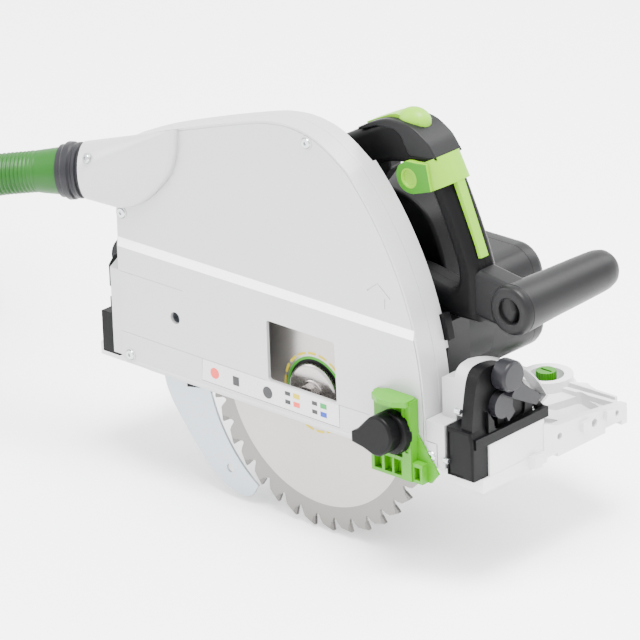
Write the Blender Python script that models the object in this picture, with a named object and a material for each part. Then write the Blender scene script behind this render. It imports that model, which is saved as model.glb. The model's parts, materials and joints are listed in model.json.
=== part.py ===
"""Track plunge saw: base plate, bevelling guard, plunging drive unit and dust hose.

Drawn in millimetres from the blade: X forward, Y from the guard towards the motor, Z up.
The empty "saw" carries everything and puts the frame's origin on the sole.
"""
import math

import bmesh
import bpy
from mathutils import Matrix, Vector
from mathutils.geometry import convex_hull_2d

MM = 0.001
GAP = 0.3
SOLE_TO_BLADE = 100

# blade and drive
BLADE_R = 105
BLADE_Z = 30
TEETH = 36
TOOTH_PHASE = 6.34
SPINDLE = (0, BLADE_Z)
MIDDLE = (18.5, 54.6)
MOTOR = (43, 74)
OUTPUT_TEETH, MIDDLE_PINION_TEETH, SLOW_MODULE = 26, 15, 1.5
MIDDLE_TEETH, MOTOR_PINION_TEETH, FAST_MODULE = 38, 12, 1.25

# guard
PIVOT = (-122, 48)
PLUNGE_DEG = 37.2
COVER_Y, SEAM_Y, SHELL_Y = -17, -1.5, 10.5
WALL = 2.5
HOOD_R = 239.7
HOOD_BOTTOM, HOOD_REAR, HOOD_FRONT = 13, -178, 118
WINDOW = (-31, 35, 37, 83)
SNOUT_R = 18.5
SCALE_IN, SCALE_OUT = 233, 238.5

# base and bevel
BASE_REAR, BASE_FRONT, BASE_NEAR, BASE_FAR = -222, 162, 4, 156
PLATE = 10
CAM_Y = 147
CAM_X = (88, -150)
BEVEL_DEG = 47
CLAMP = (17, 81.5)
CLAMP_R = math.hypot(*CLAMP)
CLAMP_DEG = math.degrees(math.atan2(CLAMP[1], CLAMP[0]))
QUADRANT_SCREWS = ((152, 10), (152, 53))

# handle
HANDLE_NEAR, HANDLE_SPLIT, HANDLE_FAR = 22.5, 35.2, 48
HANDLE_EDGE = 6
MOTOR_HALF, MOTOR_CORNER = 39.5, 13
GRIP = (162, 126)
GRIP_END = 130

# dust port and hose
PORT = Vector((-208, -14, 154))
PORT_OUT = Vector((-0.893, -0.441, -0.1)).normalized()
HOSE_R = 15.5
FLOOR = -77
COIL = Vector((-617, 20.5, 0))
COIL_R = 134
COIL_STRAIGHT = 88
COIL_TOP = 16
COIL_LIFT = 34.3
HOSE_ROUTE = [
    (-242.6, -31, 150.2),
    (-277.1, -48.1, 143),
    (-309, -64, 129),
    (-337.6, -77.8, 108.8),
    (-363.5, -89.3, 83.1),
    (-387.6, -98.2, 54.1),
    (-411.1, -104.6, 24.5),
    (-436.1, -108.9, -3.7),
    (-465.4, -111.6, -29),
    (-498.6, -112.9, -47.5),
    (-535.5, -113.4, -58.2),
    (-573, -113.5, -61.3),
]

SHAPES = {}
PIVOTS = {}


# ---------------------------------------------------------------- helpers

def clear_scene():
    for item in list(bpy.data.objects):
        bpy.data.objects.remove(item, do_unlink=True)


def material(name, colour, roughness, metallic=0.0):
    made = bpy.data.materials.new(name)
    made.use_nodes = True
    shader = made.node_tree.nodes["Principled BSDF"]
    shader.inputs["Base Color"].default_value = (*colour, 1)
    shader.inputs["Roughness"].default_value = roughness
    shader.inputs["Metallic"].default_value = metallic
    return made


def pivot(name, place, parent=None):
    """An empty on a joint's axis."""
    empty = bpy.data.objects.new(name, None)
    bpy.context.collection.objects.link(empty)
    if parent:
        empty.parent = PIVOTS[parent][0]
        place_in_parent = Vector(place) - PIVOTS[parent][1]
        empty.location = place_in_parent * MM
    else:
        empty.location = (0, -SOLE_TO_BLADE * MM, 0)
    PIVOTS[name] = (empty, Vector(place))


def place(name, shape, look, on="saw"):
    """Turn a shape in saw millimetres into an object that hangs on a pivot."""
    empty, origin = PIVOTS[on]
    shape.transform(Matrix.Translation(-origin))
    shape.transform(Matrix.Scale(MM, 4))
    bmesh.ops.recalc_face_normals(shape, faces=shape.faces)
    mesh = bpy.data.meshes.new(name)
    shape.to_mesh(mesh)
    shape.free()
    mesh.shade_smooth()
    mesh.set_sharp_from_angle(angle=math.radians(35))
    item = bpy.data.objects.new(name, mesh)
    bpy.context.collection.objects.link(item)
    item.parent = empty
    if look:
        mesh.materials.append(LOOKS[look])
    SHAPES[name] = item
    return item


def carve(item, *tools, fuse=False):
    """Cut tools from an object, or fuse them to it."""
    for number, tool in enumerate(tools):
        word = "fuse" if fuse else "cut"
        count = len(item.modifiers)
        helper = place(f"{word}_{item.name}_{count}_{number}", tool, None)
        helper.hide_render = True
        helper.display_type = "WIRE"
        change = item.modifiers.new(word, "BOOLEAN")
        change.operation = "UNION" if fuse else "DIFFERENCE"
        change.solver = "EXACT"
        change.object = helper


def on_axis(axis, a, b, along):
    return {"x": (along, a, b), "y": (a, along, b), "z": (a, b, along)}[axis]


def prism(axis, outline, low, high):
    """An outline in the plane across an axis, drawn out from low to high."""
    shape = bmesh.new()
    ring = [shape.verts.new(on_axis(axis, a, b, low)) for a, b in outline]
    face = shape.faces.new(ring)
    side = on_axis(axis, 0, 0, high - low)
    out = bmesh.ops.extrude_face_region(shape, geom=[face])
    moved = [v for v in out["geom"] if isinstance(v, bmesh.types.BMVert)]
    bmesh.ops.translate(shape, verts=moved, vec=side)
    return shape


def block(x, y, z):
    return prism("z", [(x[0], y[0]), (x[1], y[0]), (x[1], y[1]), (x[0], y[1])], *z)


def turned(profile, centre, direction=(0, 1, 0), steps=24):
    """A closed (radius, along) profile turned about an axis through centre."""
    shape = bmesh.new()
    direction = Vector(direction).normalized()
    turn = Vector((0, 0, 1)).rotation_difference(direction).to_matrix().to_4x4()
    frame = Matrix.Translation(centre) @ turn
    rings = []
    for radius, along in profile:
        if radius == 0:
            rings.append([shape.verts.new((0, 0, along))])
            continue
        angles = [2 * math.pi * k / steps for k in range(steps)]
        rings.append([shape.verts.new((radius * math.cos(a), radius * math.sin(a), along)) for a in angles])
    for first, second in zip(rings, rings[1:] + rings[:1]):
        if len(first) == 1 and len(second) == 1:
            continue
        for k in range(steps):
            n = (k + 1) % steps
            corners = [first[k % len(first)], first[n % len(first)],
                       second[n % len(second)], second[k % len(second)]]
            shape.faces.new(list(dict.fromkeys(corners)))
    shape.transform(frame)
    return shape


def rod(radius, low, high, at, steps=24):
    """A plain cylinder along Y."""
    return turned([(0, low), (radius, low), (radius, high), (0, high)], (at[0], 0, at[1]), steps=steps)


def pipe(outer, inner, low, high, at, steps=24):
    return turned([(inner, low), (outer, low), (outer, high), (inner, high)], (at[0], 0, at[1]), steps=steps)


def rod_x(radius, low, high, at, steps=20):
    """A plain cylinder along X."""
    profile = [(0, low), (radius, low), (radius, high), (0, high)]
    return turned(profile, (0, at[0], at[1]), (1, 0, 0), steps)


def rod_z(radius, low, high, at, steps=20):
    """A plain cylinder along Z."""
    return turned([(0, low), (radius, low), (radius, high), (0, high)], (*at, 0), (0, 0, 1), steps)


def arc(centre, radius, start, end, steps):
    turns = [math.radians(start + (end - start) * k / steps) for k in range(steps + 1)]
    return [(centre[0] + radius * math.cos(t), centre[1] + radius * math.sin(t)) for t in turns]


def sector(centre, inner, outer, start, end, steps):
    return arc(centre, outer, start, end, steps) + arc(centre, inner, end, start, steps)


def rounded_square(centre, half, corner, steps=5):
    """A square with round corners, anticlockwise."""
    points = []
    for k, (side_x, side_z) in enumerate(((1, 1), (-1, 1), (-1, -1), (1, -1))):
        middle = (centre[0] + side_x * (half - corner), centre[1] + side_z * (half - corner))
        points += arc(middle, corner, 90 * k, 90 * k + 90, steps)
    return points


def softened(shape, face_y, width):
    """Round the rim of the face that lies at face_y."""
    rim = [edge for edge in shape.edges if all(abs(v.co.y - face_y) < 1e-6 for v in edge.verts)]
    bmesh.ops.bevel(shape, geom=rim, offset=width, segments=2, profile=0.5, affect="EDGES",
                    clamp_overlap=True)
    return shape


def hull_of(points):
    return [points[k] for k in convex_hull_2d([Vector(p) for p in points])]


def inset(outline, depth):
    """The outline moved inwards by depth; it runs anticlockwise."""
    moved = []
    for before, here, after in zip(outline[-1:] + outline[:-1], outline, outline[1:] + outline[:1]):
        one = (Vector(here) - Vector(before)).normalized()
        two = (Vector(after) - Vector(here)).normalized()
        normal = Vector((-one.y - two.y, one.x + two.x)).normalized()
        reach = depth / max(0.35, normal.dot(Vector((-one.y, one.x))))
        moved.append((here[0] + normal.x * reach, here[1] + normal.y * reach))
    return moved


def solid_between(rings):
    """The convex solid around rings of points."""
    shape = bmesh.new()
    for ring in rings:
        for point in ring:
            shape.verts.new(point)
    made = bmesh.ops.convex_hull(shape, input=shape.verts)
    loose = {v for v in made["geom_interior"] + made["geom_unused"] if isinstance(v, bmesh.types.BMVert)}
    bmesh.ops.delete(shape, geom=list(loose), context="VERTS")
    return shape


def gear_outline(at, teeth, module, turn=0.0):
    """Involute-like teeth with a little backlash."""
    pitch = module * teeth / 2
    levels = [(pitch - 1.25 * module, 0.30), (pitch, 0.235), (pitch + module, 0.12)]
    points = []
    for k in range(teeth):
        middle = 360 * k / teeth + turn
        for side, order in ((-1, levels), (1, levels[::-1])):
            for radius, share in order:
                angle = math.radians(middle + side * share * 360 / teeth)
                points.append((at[0] + radius * math.cos(angle), at[1] + radius * math.sin(angle)))
    return points


def smooth_path(points, spacing):
    """Points along a smooth curve through the route's own points."""
    route = [Vector(p) for p in points]
    ends = [2 * route[0] - route[1]] + route + [2 * route[-1] - route[-2]]
    path = []
    for a, b, c, d in zip(ends, ends[1:], ends[2:], ends[3:]):
        steps = max(1, round((c - b).length / spacing))
        for k in range(steps):
            t = k / steps
            cubic = (2 * b + (c - a) * t + (2 * a - 5 * b + 4 * c - d) * t * t
                     + (3 * b - a - 3 * c + d) * t * t * t)
            path.append(cubic / 2)
    return path + [route[-1]]


# ---------------------------------------------------------------- base

def base():
    cam_bump = arc((CAM_X[0], CAM_Y + 4), 17, 20, 160, 8)
    rear_bump = arc((CAM_X[1], CAM_Y + 4), 17, 20, 160, 8)
    outline = [(BASE_REAR, BASE_NEAR), (-48, BASE_NEAR), (-48, 54), (48, 54), (48, BASE_NEAR),
               (136, BASE_NEAR), (136, 0), (BASE_FRONT, 0), (BASE_FRONT, 148), (122, 160), *cam_bump,
               (60, BASE_FAR), (-120, BASE_FAR), *rear_bump, (-182, BASE_FAR - 4), (BASE_REAR, 140)]
    plate = place("base_plate", prism("z", outline, 0, PLATE), "cast_white")
    front_block = prism("x", [(0, 8), (58, 8), (58, 34), (0, 34)], 140, BASE_FRONT - 0.5)
    front_wall = prism("x", [(57, 8), (146, 8), (146, 15), (100, 22), (57, 26)], 154, BASE_FRONT)
    far_rib = block((-200, 150), (148, 153), (8, 15))
    carve(plate, front_block, front_wall, far_rib, fuse=True)
    for x in CAM_X:
        carve(plate, rod_z(16, 8, 18, (x, CAM_Y)), fuse=True)
    carve(plate, block((BASE_REAR - 5, BASE_FRONT + 5), (124, 142), (-2, 3.8)))
    carve(plate, block((BASE_REAR - 5, BASE_FRONT + 5), (60, 72), (-2, 3)))
    for x in CAM_X:
        carve(plate, rod_z(12.5, 7, 22, (x, CAM_Y)), rod_z(9, -2, 3.8, (x, CAM_Y)),
              rod_z(4.4, 0, 12, (x, CAM_Y), 12))
    for low, high in ((-190, -120), (-100, -20), (0, 60)):
        carve(plate, block((low, high), (80, 118), (5, 14)))
    carve(plate, block((104, 146), (100, 140), (6, 14)))
    for x, y in QUADRANT_SCREWS:
        carve(plate, rod_z(2.6, 20, 40, (x, y), 10))
    for x, at in zip(CAM_X, ("front_guide_cam", "rear_guide_cam")):
        knob = turned([(0, 4.4), (4, 4.4), (4, 8.5), (7.3, 8.5), (7.3, 20), (6.3, 21), (0, 21)],
                      (x, CAM_Y, 0), (0, 0, 1), 20)
        cam = place(at, knob, "green", f"{at}_axis")
        carve(cam, rod_z(6.5, 0.8, 3.4, (x + 1.2, CAM_Y), 16), rod_z(3.2, 2, 6, (x, CAM_Y), 10), fuse=True)


def quadrants():
    web = [(-14, 38), (-13.5, 55), (-8.5, 81), (-3, 88.5), (6, 90), (18, 89.5), (26, 86), (34, 76),
           (48, 54.5), (61, 42), (61, 38)]
    front = place("front_quadrant", prism("x", web, 148.2, 158), "black")
    column = prism("z", [(136, -17), (158, -17), (160, -15), (160, -0.4), (136, -0.4)], PLATE + 0.4, 46.5)
    foot = block((142, 161), (-2, 62), (34.4, 42))
    carve(front, column, foot, fuse=True)
    carve(front, rod_x(3.4, 140, 165, CLAMP, 14))
    for x, y in QUADRANT_SCREWS:
        carve(front, rod_z(6, 38.2, 60, (x, y), 14), rod_z(2.6, 30, 40, (x, y), 10))
    rear_web = [(-8, 10.4), (-8, 81), (-2, 87), (10, 89.5), (24, 87), (33, 77), (58, 40), (58, 10.4)]
    rear = place("rear_quadrant", prism("x", rear_web, -207.5, -190.3), "black")
    carve(rear, block((-212, -197.5), (-12, 62), (42.5, 100)))
    carve(rear, rod_x(3.4, -215, -185, CLAMP, 14), block((-202, -194), (-10, 0), (56, 64)))
    for side, (x, y) in zip(("near", "far"), QUADRANT_SCREWS):
        screw = turned([(0, 30), (2.2, 30), (2.2, 38.5), (4.8, 38.5), (4.6, 40.3), (3, 41.6), (0, 42)],
                       (x, y, 0), (0, 0, 1), 14)
        place(f"{side}_quadrant_screw", screw, "zinc")


def bevel_clamps():
    for name, side, inner, outer in (("front", 1, 158.4, 170), ("rear", -1, -197.8, -209.5)):
        hub = [(0, inner), (11, inner), (11, outer - side * 1.5), (9.5, outer), (0, outer)]
        item = place(f"{name}_bevel_knob", turned(hub, (0, *CLAMP), (1, 0, 0), 20), "grey",
                     f"{name}_bevel_axis")
        reach = [(CLAMP[0] + 3, CLAMP[1] - 5), (CLAMP[0] - 2, CLAMP[1] - 13), (CLAMP[0] + 25, CLAMP[1] - 28),
                 (CLAMP[0] + 28, CLAMP[1] - 24)]
        low, high = sorted((inner + side * 2, outer - side * 3))
        low_stem, high_stem = sorted((inner + side * 2, 136 if side > 0 else -180))
        carve(item, prism("x", reach[::-1], low, high), rod_x(2.5, low_stem, high_stem, CLAMP, 12), fuse=True)


def tilt_brackets():
    low, high = CLAMP_DEG - BEVEL_DEG - 3, CLAMP_DEG + 3
    slot = sector((0, 0), CLAMP_R - 4.2, CLAMP_R + 4.2, high, low, 14)
    arch = [*arc((0, 0), CLAMP_R + 6.2, low - 2, 85, 12), (0, 87), (-4.2, 82), (-4.2, 51), (20, 51), (46, 62),
            *arc((0, 0), CLAMP_R - 6.2, 50, low - 2, 4)]
    front = place("front_tilt_bracket", prism("x", arch, 134.6, 147.6), "guard_silver", "bevel_axis")
    step = [(118.4, 31.4), (128.4, 31.4), (128.4, 14), (135, 14), (135, 46.5), (118.4, 46.5)]
    post = [(122.5, 45), (135.2, 45), (135.2, 79), (122.5, 75.6)]
    carve(front, prism("y", step, -17, 10.5), prism("y", post, -4, 10.5), fuse=True)
    carve(front, prism("x", slot, 130, 150))
    rear_arch = [(-14, 16), (60, 30), (68, 34), *arc((0, 0), CLAMP_R + 6.2, 24, 92, 12), (-14, 83)]
    rear = place("rear_tilt_bracket", prism("x", rear_arch, -190, -178.4), "guard_silver", "bevel_axis")
    carve(rear, prism("x", slot, -195, -170))


# ---------------------------------------------------------------- guard

def hood_outline():
    """The hood seen from the side, anticlockwise from its rear bottom corner."""
    front = arc(PIVOT, HOOD_R, 3, 44, 14)
    top = [(33, 226), (17, 233), (-2, 236), (-20, 235), (-39, 231), (-88, 216.4), (-138, 199.6), (-170, 186)]
    return [(-173.5, HOOD_BOTTOM), (HOOD_FRONT, HOOD_BOTTOM), (HOOD_FRONT, 50), *front, *top,
            (HOOD_REAR, 180), (HOOD_REAR, 17.5)]


def hood_cavity():
    """The hood's hollow, open below."""
    inner = inset(hood_outline(), WALL)
    return [(a, b if b > HOOD_BOTTOM + WALL + 2.4 else -5) for a, b in inner]


def scoop(mouth, shrink, face_y):
    """The dust scoop: from a round mouth behind the hood to an oval on its side."""
    across = PORT_OUT.cross(Vector((0, 0, 1))).normalized()
    up = across.cross(PORT_OUT).normalized()
    start = PORT + (PORT_OUT * 3 if shrink else Vector((0, 0, 0)))
    round_end = []
    for k in range(20):
        turn = 2 * math.pi * k / 20
        round_end.append(start + mouth * (across * math.cos(turn) + up * math.sin(turn)))
    oval = [(-176, 136), (-160, 138.5), (-146, 146), (-131, 159), (-120, 172), (-114.5, 185), (-113, 204),
            (-150, 192), (-176, 181)]
    side = [(x - shrink * 1.2, face_y, z + (shrink if z < 165 else -shrink * 1.6)) for x, z in oval]
    far = [(HOOD_REAR - GAP, SHELL_Y - shrink, z) for z in (137 + shrink, 179 - shrink)]
    return solid_between([round_end, side, far])


def guard():
    flap = [(HOOD_FRONT, HOOD_BOTTOM), (128, HOOD_BOTTOM), (128, 31), (HOOD_FRONT, 31)]
    outline = hood_outline()
    cover = place("guard_cover", prism("y", outline, COVER_Y, SEAM_Y - GAP), "guard_silver", "bevel_axis")
    carve(cover, scoop(20.8, 0, -15.5), fuse=True)
    carve(cover, block((HOOD_REAR - GAP, -90), (SEAM_Y - GAP, 20), (100, 220)))
    carve(cover, prism("y", [(a - 1 if a > 100 else a, b) for a, b in flap], COVER_Y, SEAM_Y - GAP),
          fuse=True)
    carve(cover, prism("y", hood_cavity(), COVER_Y + WALL, 5), scoop(17.6, 3, -13.0))
    carve(cover, turned([(0, -15), (19.8, -15), (19.8, 6), (0, 6)], PORT, PORT_OUT, 24))
    x0, x1, z0, z1 = WINDOW
    carve(cover, prism("y", [(x0, z0), (x1, z0), (x1, z1), (x0, z1)], -20, -12),
          rod(4.5, -20, -12, (-122, 61), 14))
    shell = place("guard_shell", prism("y", outline, SEAM_Y, SHELL_Y), "guard_silver", "bevel_axis")
    start = math.degrees(math.atan2(SPINDLE[1] - PIVOT[1], SPINDLE[0] - PIVOT[0]))
    reach = math.hypot(SPINDLE[0] - PIVOT[0], SPINDLE[1] - PIVOT[1])
    slot = sector(PIVOT, reach - SNOUT_R - 1, reach + SNOUT_R + 1, start - 9, start + PLUNGE_DEG + 9, 16)
    carve(shell, prism("y", hood_cavity(), SEAM_Y - 5, SHELL_Y - WALL), prism("y", slot, 5, 15))
    carve(shell, block((-182, -172), (SEAM_Y - 4, SHELL_Y - WALL), (140, 176)), rod(5.3, 5, 15, PIVOT, 16))
    for number, (x, z) in enumerate(((-172.6, 130), (13, 226.5), (-169.5, 20), (123, 21)), 1):
        carve(cover, rod(2.0, -20, -11, (x, z), 10))
        head = [(0, -18.6), (2.4, -18.6), (3.6, -17.3), (1.7, -17.2), (1.7, -12), (0, -12)]
        place(f"cover_screw_{number}", turned(head, (x, 0, z), steps=12), "zinc", "bevel_axis")
    strip = sector(PIVOT, SCALE_IN, SCALE_OUT, 10, 44, 16)
    place("depth_scale", prism("y", strip, SHELL_Y + GAP, 14.6), "guard_silver", "bevel_axis")
    stop = place("depth_stop", prism("y", sector(PIVOT, 227, 244, 11.5, 16, 3), SHELL_Y + GAP, 17.2),
                 "black", "depth_stop_axis")
    carve(stop, prism("y", sector(PIVOT, SCALE_IN - 0.4, SCALE_OUT + 0.4, 9, 19, 6), 5, 15))


def splinter_guard():
    body = place("splinter_guard", block((73, 103.5), (-23, -17.4), (0.6, 54)), "splinter_green",
                 "splinter_slide")
    fin = [(103, 32), (128, 12), (114, 0.6), (103, 0.6)]
    rim = arc((88, -19), 17, 180, 360, 10)
    carve(body, prism("y", fin[::-1], -22, -18.9), prism("z", [*rim, (107, -17.4), (71, -17.4)], 54, 62),
          block((103, 107), (-22, -17.4), (25, 60)), fuse=True)
    for x in (76, 84, 92):
        carve(body, block((x, x + 5), (-26, -19.4), (4, 13)))
    carve(body, block((105, 112), (-24, -14), (5, 14)), rod(3.4, -30, -10, (96, 35), 12))
    knob = place("splinter_knob", rod(13.5, -36, -23.4, (96, 35), 20), "black", "splinter_knob_axis")
    wing = [(96, 48), (69, 34), (69, 27), (96, 22)]
    carve(knob, prism("y", wing[::-1], -34, -26), rod(3, -28, -17.5, (96, 35), 12), fuse=True)


# ---------------------------------------------------------------- drive

def drive():
    teeth = []
    for k in range(TEETH):
        tip = 360 * k / TEETH + TOOTH_PHASE
        for offset, drop in ((-6, 9), (-4.6, 3), (0, 0), (0.3, 7.5), (2.2, 10.5)):
            angle = math.radians(tip + offset)
            teeth.append(((BLADE_R - drop) * math.cos(angle), BLADE_Z + (BLADE_R - drop) * math.sin(angle)))
    blade = place("saw_blade", prism("y", teeth, -1.1, 1.1), "blade_steel", "blade_axis")
    carve(blade, rod(15, -3, 3, SPINDLE, 24))
    flange = [(6.4, -1.1), (14.7, -1.1), (14.7, 1.4), (24, 1.4), (24, 3.4), (16, 4.6), (6.4, 4.6)]
    place("inner_flange", turned(flange, (0, 0, BLADE_Z), steps=28), "steel", "blade_axis")
    outer = [(0, -1.5), (0, -5.4), (8, -5.4), (22, -4.8), (22.7, -3.8), (22.7, -1.5)]
    flange_out = place("outer_flange", turned(outer, (0, 0, BLADE_Z), steps=28), "steel", "blade_axis")
    carve(flange_out, rod(4.4, -8, 2, SPINDLE, 14))
    bolt = place("arbor_bolt", rod(4, -7, 12, SPINDLE, 14), "dark_steel", "blade_axis")
    carve(bolt, prism("y", arc(SPINDLE, 8.2, 0, 300, 5), -11, -5.8), fuse=True)
    carve(bolt, prism("y", arc(SPINDLE, 3.5, 30, 330, 5), -13, -8))
    spindle = [(4.4, -0.8), (6.1, -0.8), (6.1, 21), (5, 21), (5, 52), (0, 52), (0, 13), (4.4, 13)]
    place("spindle", turned(spindle, (0, 0, BLADE_Z), steps=16), "dark_steel", "blade_axis")
    place("front_bearing", pipe(14, 6.4, 6, 15.5, SPINDLE, 20), "steel", "plunge_axis")
    place("rear_bearing", pipe(11, 5.3, 44.6, 52, SPINDLE, 16), "steel", "plunge_axis")
    output = place("output_gear", prism("y", gear_outline(SPINDLE, OUTPUT_TEETH, SLOW_MODULE), 25, 33),
                   "dark_steel", "blade_axis")
    carve(output, rod(5.3, 20, 40, SPINDLE, 14))
    low_turn = line_turn(SPINDLE, MIDDLE, OUTPUT_TEETH, MIDDLE_PINION_TEETH, 0)
    shaft = place("middle_shaft", rod(4, 14, 52, MIDDLE, 12), "dark_steel", "middle_axis")
    carve(shaft, prism("y", gear_outline(MIDDLE, MIDDLE_PINION_TEETH, SLOW_MODULE, low_turn), 24, 34),
          fuse=True)
    middle = place("middle_gear", prism("y", gear_outline(MIDDLE, MIDDLE_TEETH, FAST_MODULE), 35.6, 43.2),
                   "dark_steel", "middle_axis")
    carve(middle, rod(4.3, 30, 50, MIDDLE, 12))
    fast_turn = line_turn(MIDDLE, MOTOR, MIDDLE_TEETH, MOTOR_PINION_TEETH, 0)
    armature = place("armature_shaft", rod(5, 42, 152, MOTOR, 12), "dark_steel", "motor_axis")
    carve(armature, prism("y", gear_outline(MOTOR, MOTOR_PINION_TEETH, FAST_MODULE, fast_turn), 35.6, 43.2),
          fuse=True)
    place("armature_bearing", pipe(11, 5.3, 44.6, 52, MOTOR, 16), "steel", "plunge_axis")


def line_turn(first, second, teeth, mate, turn):
    """The turn that puts a mate's gap on a gear's tooth across the line between them."""
    line = math.degrees(math.atan2(second[1] - first[1], second[0] - first[0]))
    phase = ((line - turn) * teeth / 360) % 1
    return line + 180 + (phase + 0.5) * 360 / mate


def motor():
    blades = []
    for k in range(12):
        for offset, radius in ((-9, 11), (-2.2, 34), (2.2, 34), (9, 11)):
            angle = math.radians(30 * k + offset)
            blades.append((MOTOR[0] + radius * math.cos(angle), MOTOR[1] + radius * math.sin(angle)))
    fan = place("cooling_fan", rod(35, 54, 57, MOTOR, 28), "black", "motor_axis")
    carve(fan, prism("y", blades, 56, 66), fuse=True)
    carve(fan, rod(5.3, 50, 70, MOTOR, 12))
    laminations = []
    for k in range(12):
        for offset, radius in ((-9, 24), (9, 24), (11, 21), (12, 15), (18, 15), (19, 21)):
            angle = math.radians(30 * k + offset)
            laminations.append((MOTOR[0] + radius * math.cos(angle), MOTOR[1] + radius * math.sin(angle)))
    core = place("armature_core", prism("y", laminations, 74, 112), "dark_steel", "motor_axis")
    carve(core, rod(14.6, 70, 116, MOTOR, 20), rod(12, 114, 136, MOTOR, 20), fuse=True)
    carve(core, rod(5.3, 60, 140, MOTOR, 12))
    place("stator", pipe(35, 25.5, 74, 112, MOTOR, 28), "dark_steel", "plunge_axis")
    for number, side in enumerate((-1, 1), 1):
        x = MOTOR[0] + side * 18.6
        brush = block((x - 6, x + 6), (122, 132), (MOTOR[1] - 4, MOTOR[1] + 4))
        place(f"carbon_brush_{number}", brush, "brass", "plunge_axis")
    case = place("motor_housing", rod(45, 52.8, 92, MOTOR, 36), "dark_plastic", "plunge_axis")
    carve(case, prism("y", rounded_square(MOTOR, MOTOR_HALF, MOTOR_CORNER), 84, 141.7), fuse=True)
    electronics = [(78, 96), (75, 122), (68, 146), (58, 162), (40, 172), (15, 175), (-8, 170), (-24, 152),
                   (-34, 124), (-38, 96)]
    carve(case, softened(prism("y", electronics[::-1], 55, 104), 104, 10), fuse=True)
    carve(case, prism("y", rounded_square(MOTOR, MOTOR_HALF - 3, 11), 86.6, 150))
    carve(case, rod(41.7, 45, 88.9, MOTOR, 32))
    rims = [(MOTOR_HALF, 142), (MOTOR_HALF, 149), (MOTOR_HALF - 3, 155), (MOTOR_HALF - 9, 160), (26, 161.5)]
    lid = solid_between([[(x, y, z) for x, z in rounded_square(MOTOR, half, MOTOR_CORNER)]
                         for half, y in rims])
    end = place("motor_end_cap", lid, "dark_plastic", "plunge_axis")
    carve(end, prism("y", rounded_square(MOTOR, MOTOR_HALF - 3, 11), 138, 148), rod(8, 140, 156, MOTOR, 16))
    dial_at = (MOTOR[0] - 8, MOTOR[1] + 6)
    carve(end, rod(2.8, 150, 170, dial_at, 12))
    dial = [(0, 158), (2.4, 158), (2.4, 162), (9, 162), (9, 164.6), (8, 165.4), (0, 165.4)]
    place("speed_dial", turned(dial, (dial_at[0], 0, dial_at[1]), steps=20), "grey", "speed_dial_axis")


def gear_housing():
    low = arc(SPINDLE, 26, 180, 305, 8)
    pin_end = arc(PIVOT, 15, 70, 262, 10)
    outline = [*low, (46, 27), (76, 40), (90, 60), (107, 61), (107, 104), (88, 111), (66, 119), (40, 120.5),
               (16, 117), (-16, 100), (-62, 76), *pin_end, (-60, 30)]
    housing = place("gear_housing", prism("y", outline, 13.5, 43.7), "magnesium", "plunge_axis")
    carve(housing, pipe(SNOUT_R, 14.3, 5.2, 15, SPINDLE, 24), fuse=True)
    cavity = hull_of(arc(SPINDLE, 22.5, 0, 345, 23) + arc(MIDDLE, 26.6, 0, 345, 23)
                     + arc(MOTOR, 13, 0, 330, 11))
    carve(housing, prism("y", cavity, 22, 50), rod(14.3, 0, 15.9, SPINDLE, 24), rod(6.5, 10, 25, SPINDLE, 16))
    carve(housing, rod(4.3, 13.8, 25, MIDDLE, 12), rod(5.3, 0, 50, PIVOT, 16))
    carve(housing, block((86, 120), (0, 20), (50, 130)), block((-150, -92), (30, 50), (0, 120)))
    plate = hull_of(arc(SPINDLE, 26, 180, 300, 8) + arc(MOTOR, 45, 0, 345, 23))
    bearing_plate = place("bearing_plate", prism("y", plate, 44, 52.5), "magnesium", "plunge_axis")
    for at, radius in ((SPINDLE, 11.3), (MOTOR, 11.3), (MIDDLE, 4.3)):
        carve(bearing_plate, rod(radius, 40, 60, at, 16))
    pin = [(0, 8.3), (5, 8.3), (5, 44), (6.5, 44), (6.5, 46.5), (0, 46.5)]
    place("plunge_pin", turned(pin, (PIVOT[0], 0, PIVOT[1]), steps=16), "dark_steel", "bevel_axis")
    coil = bmesh.new()
    turns, sides, per_turn = 5, 6, 12
    rings = []
    for k in range(turns * per_turn + 1):
        angle = 2 * math.pi * k / per_turn
        middle = Vector((PIVOT[0] + 8 * math.cos(angle), 31.6 + 2.2 * k / per_turn,
                         PIVOT[1] + 8 * math.sin(angle)))
        out = Vector((math.cos(angle), 0, math.sin(angle)))
        ring = []
        for s in range(sides):
            around = 2 * math.pi * s / sides
            reach = out * math.cos(around) + Vector((0, math.sin(around), 0))
            ring.append(coil.verts.new(middle + 0.85 * reach))
        rings.append(ring)
    for first, second in zip(rings, rings[1:]):
        for s in range(sides):
            n = (s + 1) % sides
            coil.faces.new([first[s], first[n], second[n], second[s]])
    coil.faces.new(rings[0][::-1])
    coil.faces.new(rings[-1])
    place("plunge_spring", coil, "steel", "bevel_axis")


def riving_knife():
    inner = arc(SPINDLE, 109, 236, 172, 12)
    outer = [(-118, 62), (-138, 56), (-150, 34), (-152, 5), (-147, -11), (-137.5, -25), (-121.5, -45),
             (-105, -61.5), (-93.5, -68.5), (-81.6, -71.5), (-70, -69.5)]
    knife = place("riving_knife", prism("y", inner + outer, -1, 1), "blade_steel", "knife_axis")
    carve(knife, rod(4, -3, 3, (-88.6, -53.6), 12), rod(2.4, -3, 3, (-122, 42), 10))
    arm = hull_of(arc(SPINDLE, 25, 0, 345, 23) + arc((-122, 42), 8, 0, 330, 11))
    carrier = place("knife_carrier", prism("y", arm, 5.4, 7.5), "steel", "knife_axis")
    carve(carrier, rod(7, 1.3, 6, (-122, 42), 14), fuse=True)
    carve(carrier, rod(18.8, 4, 9, SPINDLE, 24))


# ---------------------------------------------------------------- handle

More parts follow.
